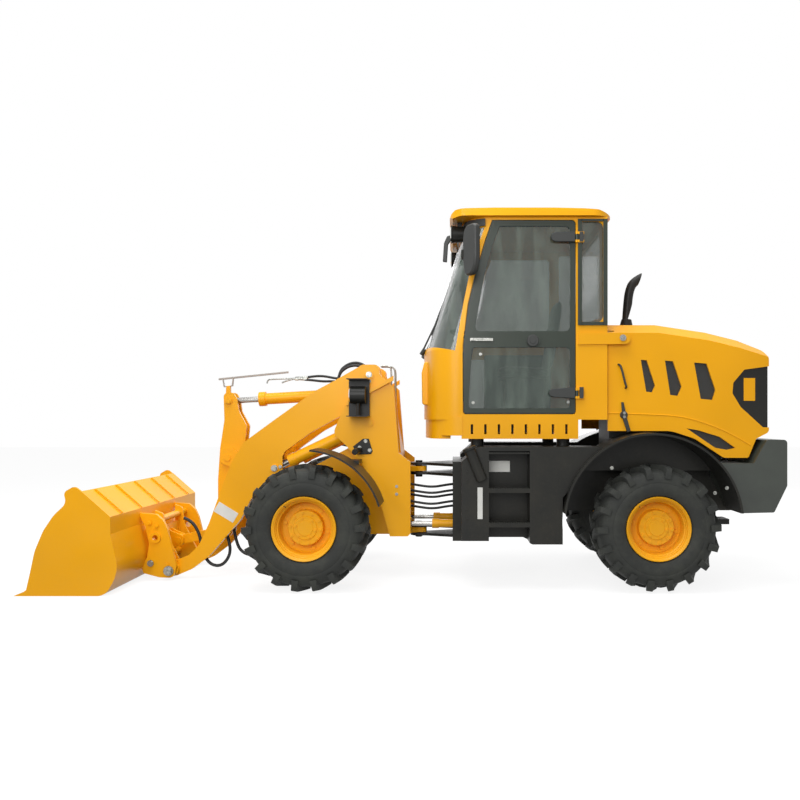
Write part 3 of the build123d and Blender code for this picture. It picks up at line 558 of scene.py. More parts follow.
def finish_tree(tree, result, geometry, finish):
    """Every tree ends alike: its mesh is dressed in its finish and handed on."""
    dressed = lay_node(tree, "GeometryNodeSetMaterial", Geometry=geometry, Material=finish)
    tree.links.new(dressed[0], result.inputs[0])
    return tree


def use_tree(obj, tree, **values):
    modifier = obj.modifiers.new(tree.name, "NODES")
    modifier.node_group = tree
    for item in tree.interface.items_tree:
        if item.in_out == "INPUT" and item.name in values:
            modifier[item.identifier] = values[item.name]


print("node trees are laid with", lay_node.__name__)

# %% [markdown]
# The pattern's sizes are shares of the head's radius, and each point of the cloud
# brings that radius and the way it faces as attributes.

# %% The bolt pattern
WASHER_SIDES, WASHER_DEPTH, HEAD_RISE = 16, 0.3, 0.45


def bolt_tree():
    tree, given, result = new_tree("bolt_pattern", Sides="Int", Head="Float", Washer="Float",
                                   Finish="Material")
    head = lay_node(tree, "GeometryNodeMeshCylinder", Vertices=given["Sides"], Radius=1.0,
                    Depth=given["Head"])
    washer = lay_node(tree, "GeometryNodeMeshCylinder", Vertices=WASHER_SIDES,
                      Radius=given["Washer"], Depth=WASHER_DEPTH)
    raised = lay_node(tree, "GeometryNodeTransform", Geometry=head[0],
                      Translation=(0, 0, HEAD_RISE))
    both = joined(tree, raised[0], washer[0])
    facing = lay_node(tree, "GeometryNodeInputNamedAttribute", {"data_type": "FLOAT_VECTOR"},
                      Name="facing")
    size = lay_node(tree, "GeometryNodeInputNamedAttribute", {"data_type": "FLOAT"}, Name="size")
    turn = lay_node(tree, "FunctionNodeAlignRotationToVector", {"axis": "Z"}, Vector=facing[0])
    heads = lay_node(tree, "GeometryNodeInstanceOnPoints", Points=given["Geometry"],
                     Instance=both, Rotation=turn[0], Scale=size[0])
    real = lay_node(tree, "GeometryNodeRealizeInstances", Geometry=heads[0])
    return finish_tree(tree, result, real[0], given["Finish"])


BOLTS = bolt_tree()
print("bolt pattern nodes:", len(BOLTS.nodes))

# %% [markdown]
# `bolts` makes the cloud for one body from rows, runs the tree on it and keeps the
# result as plain mesh. Most bolts stand on both sides of the machine, facing out.

# %% Bolts from rows
def bolts(name, body, rows, material, sides=6, head=0.7, washer=1.5):
    """rows: place in millimetres, the way it faces, radius of the head in millimetres.

    head and washer are the head's depth and the washer's radius as shares of that radius.
    """
    cloud = bpy.data.meshes.new(name)
    cloud.from_pydata([at(*place) for place, facing, radius in rows], [], [])
    cloud.attributes.new("facing", "FLOAT_VECTOR", "POINT")
    cloud.attributes.new("size", "FLOAT", "POINT")
    facing, size = cloud.attributes["facing"], cloud.attributes["size"]
    for number, (place, way, radius) in enumerate(rows):
        facing.data[number].vector = way
        size.data[number].value = radius / 1000
    obj = link(name, cloud)
    use_tree(obj, BOLTS, Sides=sides, Head=head, Washer=washer, Finish=material)
    made = baked(obj, name)
    soften(made.data, 35)
    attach(made, body)


def both_sides(*rows):
    """Bolt rows from x, y, z and size on the left, then the same on the right."""
    return [((x, side * y, z), (0, side, 0), size) for side in (1, -1) for x, y, z, size in rows]


print("two rows from one:", both_sides((0, 100, 0, 10)))

# %% [markdown]
# ## Tyres and rims
#
# A loader's tyre has deep bars that run from the middle to the shoulder in a V and
# end in square blocks on the sidewall. One bar is drawn from a few
# cross-sections. At the top of a wheel the bars' outer ends point to the rear.

# %% One tread bar
TYRE_R, WHEEL_Y, BARS = 515, 740, 18
# columns: across, degrees behind the bar's root, half width, outer radius, inner radius
BAR = ((6, 0.0, 25, 512, 470), (50, 3.6, 25, 513.5, 470), (95, 6.4, 25, 513, 466),
       (135, 8.0, 25, 510, 458), (170, 8.8, 24, 504, 440), (190, 9.0, 22, 494, 420),
       (199, 9.1, 20, 470, 412), (199.5, 9.1, 19, 434, 418))
BAR_FLARE = 7  # how much wider the bar is at its foot, on each side


def draw_bar(bm, half, start):
    """A bar on one half of the tread; its root stands at start degrees."""
    rings = []
    for across, behind, wide, top, foot in BAR:
        middle = radians(start - behind)
        ring = []
        for radius, spread in ((foot, wide + BAR_FLARE), (top, wide), (top, -wide),
                               (foot, -wide - BAR_FLARE)):
            angle = middle + spread / radius
            ring.append(bm.verts.new((radius / 1000 * sin(angle), half * across / 1000,
                                      radius / 1000 * cos(angle))))
        rings.append(ring)
    for first, second in zip(rings, rings[1:]):
        for k in range(4):
            bm.faces.new((first[k], first[(k + 1) % 4], second[(k + 1) % 4], second[k]))
    bm.faces.new(rings[0])
    bm.faces.new(rings[-1][::-1])


print("cross-sections in a bar:", len(BAR))

# %% [markdown]
# A node tree sets a pair of bars, one for each half of the tread, round the wheel
# and joins them to the carcass, which is turned on the lathe.

# %% A whole tyre
# columns: across, radius, from the bead to the middle of the tread
CARCASS = ((120, 262), (164, 263), (176, 272), (190, 296), (197, 330), (197, 366), (194, 372),
           (196, 380), (191, 400), (184, 424), (172, 447), (150, 464), (80, 477), (0, 480))
CARCASS_SIDES = 144


def reckon(tree, operation, first, second):
    """A Math node in a node tree, on plain values or outputs."""
    made = tree.nodes.new("ShaderNodeMath")
    made.operation = operation
    for socket, value in zip(made.inputs, (first, second)):
        give(tree, socket, value)
    return made.outputs[0]


def tread_tree():
    tree, given, result = new_tree("tread_pattern", Bar="Object", Bars="Int", Finish="Material")
    bar = lay_node(tree, "GeometryNodeObjectInfo", Object=given["Bar"])
    hub = lay_node(tree, "GeometryNodeMeshLine", Count=given["Bars"], Offset=(0, 0, 0))
    number = lay_node(tree, "GeometryNodeInputIndex")
    step = reckon(tree, "DIVIDE", tau, given["Bars"])
    angle = lay_node(tree, "ShaderNodeCombineXYZ", Y=reckon(tree, "MULTIPLY", number[0], step))
    ring = lay_node(tree, "GeometryNodeInstanceOnPoints", Points=hub[0],
                    Instance=bar["Geometry"], Rotation=angle[0])
    real = lay_node(tree, "GeometryNodeRealizeInstances", Geometry=ring[0])
    return finish_tree(tree, result, joined(tree, given["Geometry"], real[0]), given["Finish"])


def make_tyre():
    bm = bmesh.new()
    draw_bar(bm, 1, 0)
    draw_bar(bm, -1, 180 / BARS)
    bar = as_object("tread_bar", bm, 40)
    bm = bmesh.new()
    lathe(bm, CARCASS + tuple((-a, r) for a, r in CARCASS[-2::-1]), CARCASS_SIDES)
    tyre = as_object("tyre_form", bm, 50)
    use_tree(tyre, tread_tree(), Bar=bar, Bars=BARS, Finish=tyre_black)
    made = baked(tyre, "tyre_whole")
    bpy.data.objects.remove(bar)
    soften(made.data, 38)
    return made


tyre_form = make_tyre()
print("one tyre:", len(tyre_form.data.polygons), "faces")

# %% [markdown]
# The rim is pressed and welded steel: a wide flange with two rolled beads, a deep
# well, and in it the drive hub with its rings of bolts. It is turned on the lathe
# as one closed shape.

# %% Rims and wheels
# columns: across from the wheel's middle, radius, from the hub outwards and back
RIM = ((108, 0), (108, 62), (104, 66), (104, 92), (97, 98), (97, 138), (92, 143), (34, 146),
       (30, 150), (30, 196), (40, 208), (118, 212), (128, 216), (133, 224), (146, 227), (150, 232),
       (166, 236), (172, 244), (178, 250), (180, 257), (176, 261), (150, 262), (-162, 262),
       (-176, 261), (-178, 252), (-160, 236), (-60, 226), (-22, 214), (-21, 0))
RIM_SIDES = 96
# columns: wheel, x, side of the machine
WHEELS = (("front_left", 885, 1), ("front_right", 885, -1),
          ("rear_left", -1965, 1), ("rear_right", -1965, -1))
# columns: bolts in the ring, its radius, where its face is across the wheel, size of a head
BOLT_RINGS = ((10, 124, 97, 12), (6, 82, 104, 10), (6, 176, 30, 17))


def wheel_rings(x, side):
    """Rows for the bolts of one wheel, ring by ring."""
    for count, radius, face, size in BOLT_RINGS:
        for k in range(count):
            angle = tau * (k + 0.3) / count
            yield ((x + radius * sin(angle), side * (WHEEL_Y + face), TYRE_R + radius * cos(angle)),
                   (0, side, 0), size)


def make_wheel(name, x, side):
    centre = at(x, side * WHEEL_Y, TYRE_R)
    tyre = link("tread_" + name, tyre_form.data.copy())
    tyre.data.transform(Matrix.Translation(centre) @ Matrix.Diagonal((1, side, 1, 1)))
    if side < 0:
        tyre.data.flip_normals()
    body = "wheel_" + name
    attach(tyre, body)
    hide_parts("tyre_" + name)
    rim = make("wheel_disc_" + name, body, wheel_yellow, (lathe, RIM, RIM_SIDES, centre, side),
               smooth=28)
    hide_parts("rim_" + name)
    bolts("wheel_bolts_" + name, body, list(wheel_rings(x, side)), wheel_yellow)
    make("valve_" + name, body, plastic,
         (rod, (x + 150, side * 886, TYRE_R + 176), (x + 160, side * 912, TYRE_R + 188), 6, 10))


for wheel in WHEELS:
    make_wheel(*wheel)
bpy.data.objects.remove(tyre_form)
print("wheels:", [wheel[0] for wheel in WHEELS])

# %% [markdown]
# ## Around the cab
#
# A dark strip bows round the top of the windscreen. Its outline is drawn for the
# left half and mirrored.

# %% Strip over the windscreen
SIDES = ((1, "left"), (-1, "right"))
STRIP_FRONT = ((-581, 729), (-515, 700), (-446, 652), (-414, 570), (-400, 480), (-368, 240), (-352, 0))
STRIP_BACK = ((-560, 716), (-505, 660), (-462, 610), (-436, 480), (-404, 240), (-390, 0))


def whole(rows):
    """An outline's left half, then the same mirrored to the right."""
    return rows + tuple((x, -y) for x, y in rows[-2::-1])


make("lamp_strip", "rear_frame", plastic,
     (plan, whole(STRIP_FRONT) + whole(STRIP_BACK)[::-1], 2996, 3058), bevel=0.004)
print("strip from", STRIP_FRONT[0], "to the middle", STRIP_FRONT[-1])

# %% [markdown]
# Two work lamps hang under the strip, and a mirror stands out from each front
# corner: a big head on a flat arm, turned towards the driver. A mirror is drawn
# flat over the steering's pivot, moved out, and turned about an upright line.

# %% Lamps and mirrors
LAMP_Y, LAMP_Z = 520, 2972
MIRROR_X, MIRROR_Y, MIRROR_TURN = -462, 908, -60
MIRROR_HEAD = ((90, 2640), (98, 2690), (98, 2860), (80, 2930), (30, 2962), (-60, 2960), (-92, 2940),
               (-94, 2700), (-84, 2630), (-50, 2575), (-15, 2556), (50, 2556), (80, 2590))
MIRROR_GLASS = ((66, 2650), (70, 2860), (40, 2925), (-66, 2925), (-70, 2720), (-55, 2640),
                (-10, 2592), (50, 2592))
MIRROR_ARM = ((-524, 690), (-484, 676), (-378, 765), (-378, 835), (-430, 880), (-470, 850),
              (-524, 760))
HOOK_MIRROR = ((-300, 2962), (-262, 2950), (-236, 2890), (-226, 2735), (-262, 2730), (-272, 2880),
               (-300, 2920))


def swung(bm, x, y, degrees):
    """Moves what is drawn out to a place and turns it there about an upright line."""
    for vert in bm.verts:
        vert.co.x += x / 1000
    place = Matrix.Translation(at(x, y, 0))
    spin = place @ Matrix.Rotation(radians(degrees), 4, "Z") @ Matrix.Translation(-at(x, y, 0))
    bmesh.ops.transform(bm, matrix=spin, verts=bm.verts)


for side, word in SIDES:
    y, out = side * LAMP_Y, side * MIRROR_Y
    make("lamp_can_" + word, "rear_frame", black,
         (rod, (-440, y, LAMP_Z), (-306, y, LAMP_Z), 60, 32, 72),
         (rod, (-306, y, LAMP_Z), (-296, y, LAMP_Z), 76, 32),
         (slab, -390, -350, y - 20, y + 20, 3030, 3070), bevel=0.003)
    make("lamp_face_" + word, "rear_frame", reflector,
         (rod, (-300, y, LAMP_Z), (-288, y, LAMP_Z), 66, 32, 58), bevel=0.002)
    set_out = (swung, MIRROR_X, out, MIRROR_TURN * side)
    make("mirror_head_" + word, "rear_frame", plastic,
         (plate, MIRROR_HEAD, out - 27, out + 27), set_out, bevel=0.014)
    make("mirror_face_" + word, "rear_frame", mirror_silver,
         (plate, MIRROR_GLASS, out - 30 * side, out - 26 * side), set_out)
    make("mirror_arm_" + word, "rear_frame", black,
         (plan, [(x, side * y) for x, y in MIRROR_ARM], 2706, 2774), bevel=0.004)
make("hook_mirror", "rear_frame", plastic, (plate, HOOK_MIRROR, 530, 560), bevel=0.006)
print("lamps and mirrors on both sides")

# %% [markdown]
# The roof is a pressed shell: its side view is drawn as a plate whose sides lean in,
# and a second plate with rounded corners cuts it to its plan. Four low studs stand
# on top.

# %% The roof's outlines
ROOF_SIDE = ((-286, 3084), (-300, 3108), (-330, 3130), (-420, 3138), (-651, 3143), (-1157, 3143),
             (-1400, 3137), (-1520, 3128), (-1625, 3100), (-1640, 3094), (-1636, 3078),
             (-380, 3076), (-310, 3066))
# columns: x, y, where the arc starts, radius
ROOF_CORNERS = ((-436, 600, 0, 150), (-1450, 560, 90, 190), (-1450, -560, 180, 190),
                (-436, -600, 270, 150))
ROOF_FOOT, ROOF_RISE, ROOF_LEAN = 3070, 80, 12
ROOF_EDGE = 0.012  # metres that the pressed edge is rounded by


def lean_in(bm):
    """Leans the roof's sides in, more the higher they are over its foot."""
    for vert in bm.verts:
        y = vert.co.y * 1000
        lift = (vert.co.z * 1000 - ROOF_FOOT) / ROOF_RISE
        vert.co.y = (y - (ROOF_LEAN if y > 0 else -ROOF_LEAN) * max(0.0, lift)) / 1000


def roof_plan(steps=8):
    """The roof's outline from above: an arc at each corner."""
    for x, y, start, radius in ROOF_CORNERS:
        for k in range(steps + 1):
            angle = radians(start + 90 * k / steps)
            yield x + radius * cos(angle), y + radius * sin(angle)


print("roof's plan from", len(list(roof_plan())), "places")

# %% [markdown]
# The cut is an exact Boolean, and a bevel rounds the pressed edges after it.

# %% Roof and studs
def make_roof():
    bm, corners = bmesh.new(), bmesh.new()
    plate(bm, ROOF_SIDE, -750, 750)
    lean_in(bm)
    roof = as_object("roof_shell", bm)
    plan(corners, list(roof_plan()), 3040, 3170)
    cutter = as_object("roof_plan", corners)
    cut = roof.modifiers.new("plan", "BOOLEAN")
    cut.operation, cut.solver, cut.object = "INTERSECT", "EXACT", cutter
    made = baked(roof, "roof_panel")
    bpy.data.objects.remove(cutter)
    soften(made.data, 30)
    edge = made.modifiers.new("edge", "BEVEL")
    edge.width, edge.segments, edge.limit_method = ROOF_EDGE, 3, "ANGLE"
    wear(made, yellow)
    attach(made, "rear_frame")
    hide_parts("cab_roof")


make_roof()
bolts("roof_studs", "rear_frame",
      [((x, y, 3143), (0, 0, 1), 7) for x in (-680, -1140) for y in (690, -690)],
      black, sides=8, head=0.9, washer=1.6)
print("roof cut to", len(ROOF_CORNERS), "round corners")

# %% [markdown]
# The door has a grey frame, a lever in a silver plate, a round lock, and two long
# covers over its hinges, whose roots stay on the cab.

# %% Door furniture
# heights of the two hinges, from and to
DOOR_HINGES = ((2864, 2948), (1570, 1664))
HINGE_TOP = ((-1120, 2904), (-1132, 2934), (-1160, 2946), (-1322, 2948), (-1322, 2864),
             (-1160, 2866), (-1132, 2876))
HINGE_LOW = ((-1101, 1612), (-1116, 1640), (-1150, 1650), (-1322, 1664), (-1322, 1570),
             (-1150, 1580), (-1116, 1590))
make("door_lever", "door_left", zinc_plate, (slab, -645, -454, 716, 720, 2044, 2070),
     (slab, -500, -462, 719, 726, 2048, 2066), bevel=0.002)
make("door_lock", "door_left", plastic, (rod, (-974, 714, 2048), (-974, 722, 2048), 52, 32, 46),
     (rod, (-974, 720, 2048), (-974, 727, 2048), 26, 24), bevel=0.002)
make("hinge_covers", "door_left", plastic, (plate, HINGE_TOP, 717, 733),
     (plate, HINGE_LOW, 717, 733), bevel=0.004)
make("hinge_roots", "rear_frame", plastic,
     *((slab, -1392, -1358, 716, 729, low, high) for low, high in DOOR_HINGES), bevel=0.003)
bolts("door_bolts", "door_left",
      [((x, 718, z), (0, 1, 0), 9) for x, z in ((-480, 1535), (-1265, 1540), (-540, 1935))],
      zinc_plate, sides=12)
print("door furniture with", len(DOOR_HINGES), "hinges")

# %% [markdown]
# Two wipers lie on the windscreen, each a pivot, an arm and a blade, and the panel
# under them bulges out a little.

# %% Wipers and front panel
for side, word in SIDES:
    make("wiper_" + word, "rear_frame", plastic,
         (rod, (-30, side * 190, 1975), (-62, side * 205, 2022), 20, 16),
         (rod, (-44, side * 200, 2010), (-262, side * 300, 2452), 8, 10, 6),
         (rod, (-122, side * 270, 2140), (-335, side * 350, 2700), 9, 8, 7))
BULGE = ((-60, 1520), (-44, 1534), (-40, 1800), (-62, 1890), (-110, 1900), (-110, 1520))
make("front_bulge", "rear_frame", yellow, (plate, BULGE, -400, 400), bevel=0.012)
print("cab front dressed")

# %% [markdown]
# ## Exhaust, filler and bar
#
# The stack is one bent pipe with a slash cut at its end. A pipe follows a smooth
# spline through the air, whose control points are few and given.

# %% Bent pipes
def route(name, rows, radius, rings=4):
    """A line from rows of places in millimetres; more rings make its section rounder."""
    line = bpy.data.curves.new(name, "CURVE")
    line.dimensions, line.bevel_depth, line.bevel_resolution = "3D", radius / 1000, rings
    line.use_fill_caps, line.resolution_u = True, 8
    spline = line.splines.new("NURBS")
    spline.points.add(len(rows) - 1)
    for point, place in zip(spline.points, rows):
        point.co = (*at(*place), 1)
    spline.order_u, spline.use_endpoint_u = 3, True
    return link(name, line)


def slash(mesh, place, way):
    """Cuts off what lies beyond a plane."""
    bm = bmesh.new()
    bm.from_mesh(mesh)
    bmesh.ops.bisect_plane(bm, geom=bm.verts[:] + bm.edges[:] + bm.faces[:],
                           plane_co=at(*place), plane_no=way, clear_outer=True)
    bm.to_mesh(mesh)
    bm.free()


def tube(name, rows, radius, body, material, cut=None):
    """A rigid pipe; cut is a place on its end's plane and the way that plane faces."""
    made = baked(route(name, rows, radius, 6), name)
    if cut:
        slash(made.data, *cut)
    made.data.shade_smooth()
    wear(made, material)
    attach(made, body)
    return made


STACK = ((-1862, 190, 2209), (-1874, 190, 2400), (-1890, 190, 2545), (-1930, 190, 2630),
         (-2012, 190, 2668))
pipe = tube("exhaust_stack", STACK, 40, "rear_frame", exhaust_black,
            ((-1985, 190, 2650), (-0.95, 0, -0.3)))
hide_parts("exhaust_pipe")
make("exhaust_cone", "rear_frame", exhaust_black,
     (rod, (-1862, 190, 2200), (-1866, 190, 2290), 66, 32, 44), bevel=0.003)
print("exhaust:", len(pipe.data.polygons), "faces")

# %% [markdown]
# The level bar over the tilt cylinder tells the driver how the bucket sits, and the
# tank's filler neck leans back from the left side box.

# %% Filler and level bar
LEVEL_BAR = ((1202, 1838), (1841, 1773), (1841, 1756), (1202, 1821))
LEVEL_FORK = ((1712, 1700), (1704, 1775), (1712, 1774), (1722, 1708), (1786, 1700), (1800, 1766),
              (1808, 1765), (1794, 1690))
LEVEL_POST = ((1730, 1600), (1734, 1706), (1770, 1702), (1775, 1600))
make("filler_neck", "rear_frame", black, (rod, (-548, 850, 905), (-448, 862, 1150), 46, 32),
     (rod, (-448, 862, 1150), (-440, 863, 1170), 56, 32), bevel=0.004)
make("level_bar", "tilt_rod", steel_bar, (plate, LEVEL_BAR, -14, 14),
     (plate, LEVEL_FORK, -14, 14), bevel=0.002)
make("level_bar_post", "tilt_rod", yellow, (plate, LEVEL_POST, -18, 18), bevel=0.003)
print("level bar", LEVEL_BAR[1][0] - LEVEL_BAR[0][0], "millimetres long")

# %% [markdown]
# ## The bucket's stiffeners
#
# Ribs stand on the outside of the back, and a wear strip runs along each side's
# front edge.

# %% Ribs and strips
RIB, RIBS, RIB_GAP = ((2392, 628), (2388, 640), (2604, 830), (2622, 826)), 5, 390
SIDE_STRIP = ((3048, 45), (3026, 190), (2990, 353), (2922, 516), (2840, 638), (2740, 728),
              (2649, 797), (2556, 717), (2640, 640), (2740, 523), (2873, 329), (2925, 190),
              (2939, 45))
rib_places = [(number - RIBS // 2) * RIB_GAP for number in range(RIBS)]
make("bucket_ribs", "bucket", yellow, *((plate, RIB, y - 6, y + 6) for y in rib_places),
     bevel=0.001)
for side, word in SIDES:
    make("side_strip_" + word, "bucket", yellow, (plate, SIDE_STRIP, side * 992, side * 999.5),
         bevel=0.0015)
print("ribs at", rib_places)

# %% [markdown]
# ## Hoses and pipes
#
# A hose is a fixed length of rubber on one smooth line through a few given places.
# `hose` measures that line, so that the length that is stated is the length
# that is drawn. A hose that crosses a joint is baked to a plain tube of mesh that
# rides on neither of its two bodies.

# %% Hose and fitting
def hose(name, rows, radius, body, other=None):
    """A hose on one body, or a plain mesh between two bodies that rides on neither; returns its length."""
    thin = baked(route(name + "_line", rows, 0), name + "_line")
    path = [vert.co.copy() for vert in thin.data.vertices]
    bpy.data.objects.remove(thin)
    length = sum((b - a).length for a, b in zip(path, path[1:]))
    obj = route(name, rows, radius)
    if other:
        obj = baked(obj, name)
        obj.data.shade_smooth()
    wear(obj, hose_black)
    2 * radius / 1000
    if other:
        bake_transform(obj)
    else:
        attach(obj, body)
    return length


def collar(name, start, end, radius, body):
    """A swaged fitting with its nut where a hose leaves."""
    nut_end = [a + (b - a) * 0.3 for a, b in zip(start, end)]
    make(name, body, zinc_plate, (rod, start, end, radius, 20),
         (rod, start, nut_end, radius * 1.3, 6), bevel=0.001)


print("a hose is stated with its own length by", hose.__name__)

# %% [markdown]
# Two hoses bow over the boom's root. Five more cross the steering's hinge below the
# cab, and each of these has a fitting at both ends.

# %% Root and joint hoses
total = 0
for number, (y, crest) in enumerate(((120, 0), (165, -26))):
    rows = ((726, y, 1716 + crest), (722, y, 1822 + crest), (640, y + 4, 1896 + crest),
            (545, y + 4, 1912 + crest), (462, y, 1868 + crest), (430, y, 1800 + crest))
    total += hose("root_hose_%d" % number, rows, 13, "front_frame")
for number, (y, z) in enumerate(((90, 812), (150, 762), (60, 716), (190, 668), (120, 620))):
    rows = ((168, y, z), (90, y, z + 2), (0, y + 14, z - 14), (-130, y + 26, z - 30),
            (-262, y + 12, z - 8), (-346, y, z), (-420, y, z))
    total += hose("joint_hose_%d" % number, rows, 11, "front_frame", "rear_frame")
    collar("joint_fitting_%d" % number, (166, y, z), (104, y, z), 13, "front_frame")
    collar("joint_end_%d" % number, (-418, y, z), (-360, y, z), 13, "rear_frame")
print("metres of hose at the hinge and the root:", round(total, 2))

# %% [markdown]
# One hose feeds the coupler's lock from the boom, and one loops under the boom.

# %% Boom hoses
COUPLER_LINE = ((2075, 520), (2010, 500), (1935, 380), (1915, 230), (1850, 110), (1745, 90),
                (1668, 180), (1665, 300), (1705, 400))
BOOM_LINE = ((1700, 560), (1660, 470), (1640, 340), (1600, 220), (1500, 170), (1400, 240),
             (1370, 380), (1390, 520))
total = hose("coupler_hose", [(x, 250, z) for x, z in COUPLER_LINE], 14, "bucket", "boom")
total += hose("boom_hose", [(x, 180, z) for x, z in BOOM_LINE], 14, "boom")
print("metres of hose at the boom:", round(total, 2))

# %% [markdown]
# Rigid pipes are zinc-plated tube: two along the tilt cylinder and three down the
# back of the tower, and a hose carries on from each.

# %% Rigid pipes
tube("tilt_pipe_front", ((1390, 30, 1724), (1390, 30, 1758), (1340, 30, 1764), (1100, 30, 1772)),
     7, "tilt_barrel", zinc_plate)
tube("tilt_pipe_rear", ((1250, 52, 1730), (1180, 52, 1762), (1100, 52, 1768)),
     7, "tilt_barrel", zinc_plate)
collar("tilt_fitting_0", (1130, 30, 1771), (1010, 30, 1782), 12, "tilt_barrel")
collar("tilt_fitting_1", (1130, 52, 1767), (1020, 52, 1760), 12, "tilt_barrel")
hose("tilt_hose_0", ((1030, 30, 1780), (950, 36, 1792), (860, 70, 1790), (760, 110, 1768),
                     (680, 130, 1760)), 11, "tilt_barrel", "front_frame")
hose("tilt_hose_1", ((1040, 52, 1759), (960, 60, 1752), (870, 90, 1740), (780, 140, 1740),
                     (700, 160, 1735)), 11, "tilt_barrel", "front_frame")
for number, (x, y) in enumerate(((206, 150), (206, 205), (238, 236))):
    rows = ((330, y, 1868), (250, y, 1872), (x, y, 1850), (x - 4, y, 1760), (x - 2, y, 1470))
    tube("tower_pipe_%d" % number, rows, 8, "front_frame", zinc_plate)
    collar("tower_fitting_%d" % number, (x - 2, y, 1480), (x - 2, y, 1400), 13, "front_frame")
    rows = ((x - 2, y, 1405), (x - 2, y - 2, 1330), (x + 6, y - 6, 1230), (x + 4, y - 10, 1130),
            (x, y - 12, 1040))
    hose("tower_hose_%d" % number, rows, 12, "front_frame")
print("pipes done")

# %% [markdown]
# ## Bolts, pins and brackets
#
# Pin ends are round discs on a wide collar, in zinc or in the paint of what they
# hold. Both sides of the machine have the same ones.

# %% Pins
bolts("bucket_bolts", "bucket",
      both_sides((2310, 445, 502, 15), (2246, 445, 474, 12), (2156, 445, 142, 12)), yellow)
bolts("bucket_pins", "bucket", both_sides((2298, 445, 154, 22), (2142, 445, 89, 34)), zinc_plate,
      sides=20, head=0.6, washer=1.25)
bolts("boom_pins", "front_frame", both_sides((418, 377, 1786, 26), (418, 377, 1729, 13)),
      zinc_plate, sides=20, head=0.6, washer=1.3)
bolts("lift_pins", "boom", both_sides((1249, 359, 969, 22), (1196, 359, 981, 12)), zinc_plate,
      sides=20, head=0.6, washer=1.3)
bolts("crank_pins", "bell_crank", both_sides((1730, 74, 1054, 20), (1730, 74, 1567, 24)), yellow,
      sides=20, head=0.5, washer=1.4)
print("pins on the boom, the crank and the bucket")

# %% [markdown]
# Bolts hold the tank, the fenders, the hood's straps and the frame. A bracket
# carries each front fender, and a reflector fills each headlamp.

# %% Bolts, fender brackets and headlamps
BRACKET = ((558, 1160), (470, 1228), (420, 1228), (387, 1120), (400, 1095), (520, 1090))
bolts("tank_bolts", "rear_frame", both_sides(*((-427, 831, z, 9) for z in (969, 896, 661, 588))),
      black)
bolts("fender_bolts", "rear_frame",
      both_sides((-1588, 901, 1007, 10), (-2417, 901, 806, 10), (-2513, 901, 846, 10)), zinc_plate)
bolts("strap_bolts", "rear_frame", both_sides((-1717, 728, 2071, 14)), zinc_plate, washer=1.9)
bolts("frame_bolts", "front_frame", both_sides((178, 377, 812, 9), (178, 377, 744, 9)), zinc_plate)
for side, word in SIDES:
    make("fender_bracket_" + word, "front_frame", black,
         (plate, BRACKET, side * 378, side * 386),
         (rod, (500, side * 382, 1130), (520, side * 560, 1120), 26, 20), bevel=0.003)
    make("headlamp_face_" + word, "front_frame", reflector,
         (rod, (566, side * 495, 1606), (574, side * 495, 1606), 64, 32, 56))
bolts("bracket_bolts", "front_frame",
      both_sides((448, 387, 1208, 11), (412, 387, 1128, 11), (500, 387, 1150, 11)), zinc_plate)
print("brackets and headlamps on")

# %% [markdown]
# Plates that carry words on other machines are left blank here. The steps have
# rows of pressed teeth for grip.

# %% Blank plates, level glass and step teeth
ARM_PLATE = ((1731, 676), (1564, 572), (1613, 492), (1782, 593))
# one tooth: x from its start and height over the step
TOOTH, TEETH, TOOTH_GAP = ((0, 1), (6, 9), (14, 9), (19, 1)), 17, 19.5
make("arm_plate", "boom", label_white, (plate, ARM_PLATE, 350, 351.5))
make("tank_plate", "rear_frame", label_white, (slab, -790, -616, 621, 623, 956, 1048))
make("level_glass", "rear_frame", label_white, (slab, -554, -512, 830, 834, 587, 844),
     bevel=0.0015)
make("grille_plate", "hood", yellow, (slab, -2837, -2742, 651, 653, 1552, 1742), bevel=0.0005)


def tooth_line(z):
    """The side view of a step's toothed edge, at the step's height."""
    teeth = [(-934 + dx + TOOTH_GAP * k, z + dz) for k in range(TEETH) for dx, dz in TOOTH]
    return [(-936, z - 6)] + teeth + [(-603, z - 6)]


for side, word in SIDES:
    make("step_teeth_" + word, "rear_frame", black,
         *((plate, tooth_line(z), side * y, side * (y - 5))
           for z in (551, 831, 1121) for y in (700, 829)))
print("teeth on a step:", TEETH)

# %% [markdown]
# ## Hood trim
#
# A pressed crease runs along the hood's side, with a grab handle and a rubber latch
# near its front edge.

# %% Crease, handle and latch
CREASE = ((-1604, 1450), (-1900, 1440), (-2222, 1425), (-2476, 1347), (-2668, 1258), (-2795, 1182))
GRIP = ((-1694, 660, 1854), (-1694, 700, 1850), (-1706, 712, 1830), (-1740, 712, 1690),
        (-1753, 700, 1662), (-1753, 660, 1658))
LATCH = ((-1712, 1540), (-1732, 1540), (-1756, 1420), (-1790, 1300), (-1762, 1284), (-1722, 1410))
for side, word in SIDES:
    tube("hood_crease_" + word, [(x, side * 660, z) for x, z in CREASE], 5, "hood", yellow)
    tube("hood_grip_" + word, [(x, side * y, z) for x, y, z in GRIP], 9, "hood", plastic)
    make("hood_latch_" + word, "hood", plastic,
         (rod, (-1737, side * 660, 1433), (-1737, side * 676, 1433), 34, 28, 30),
         (plate, LATCH, side * 672, side * 688), bevel=0.004)
    bolts("latch_screws_" + word, "hood",
          [((-1737, side * 689, z), (0, side, 0), 8) for z in (1418, 1450)], zinc_plate, sides=12)
print("hood trimmed")

# %% [markdown]
# ## Seat
#
# The seat's cushions are crowned and pinched at their corners: a coarse cage that a
# subdivision surface rounds off, with sewn channels pressed across each.

# %% Seat cushions
CROWN, PINCH, SEAM_DEPTH, SEAM_HALF = 0.35, 0.06, 0.10, 0.16


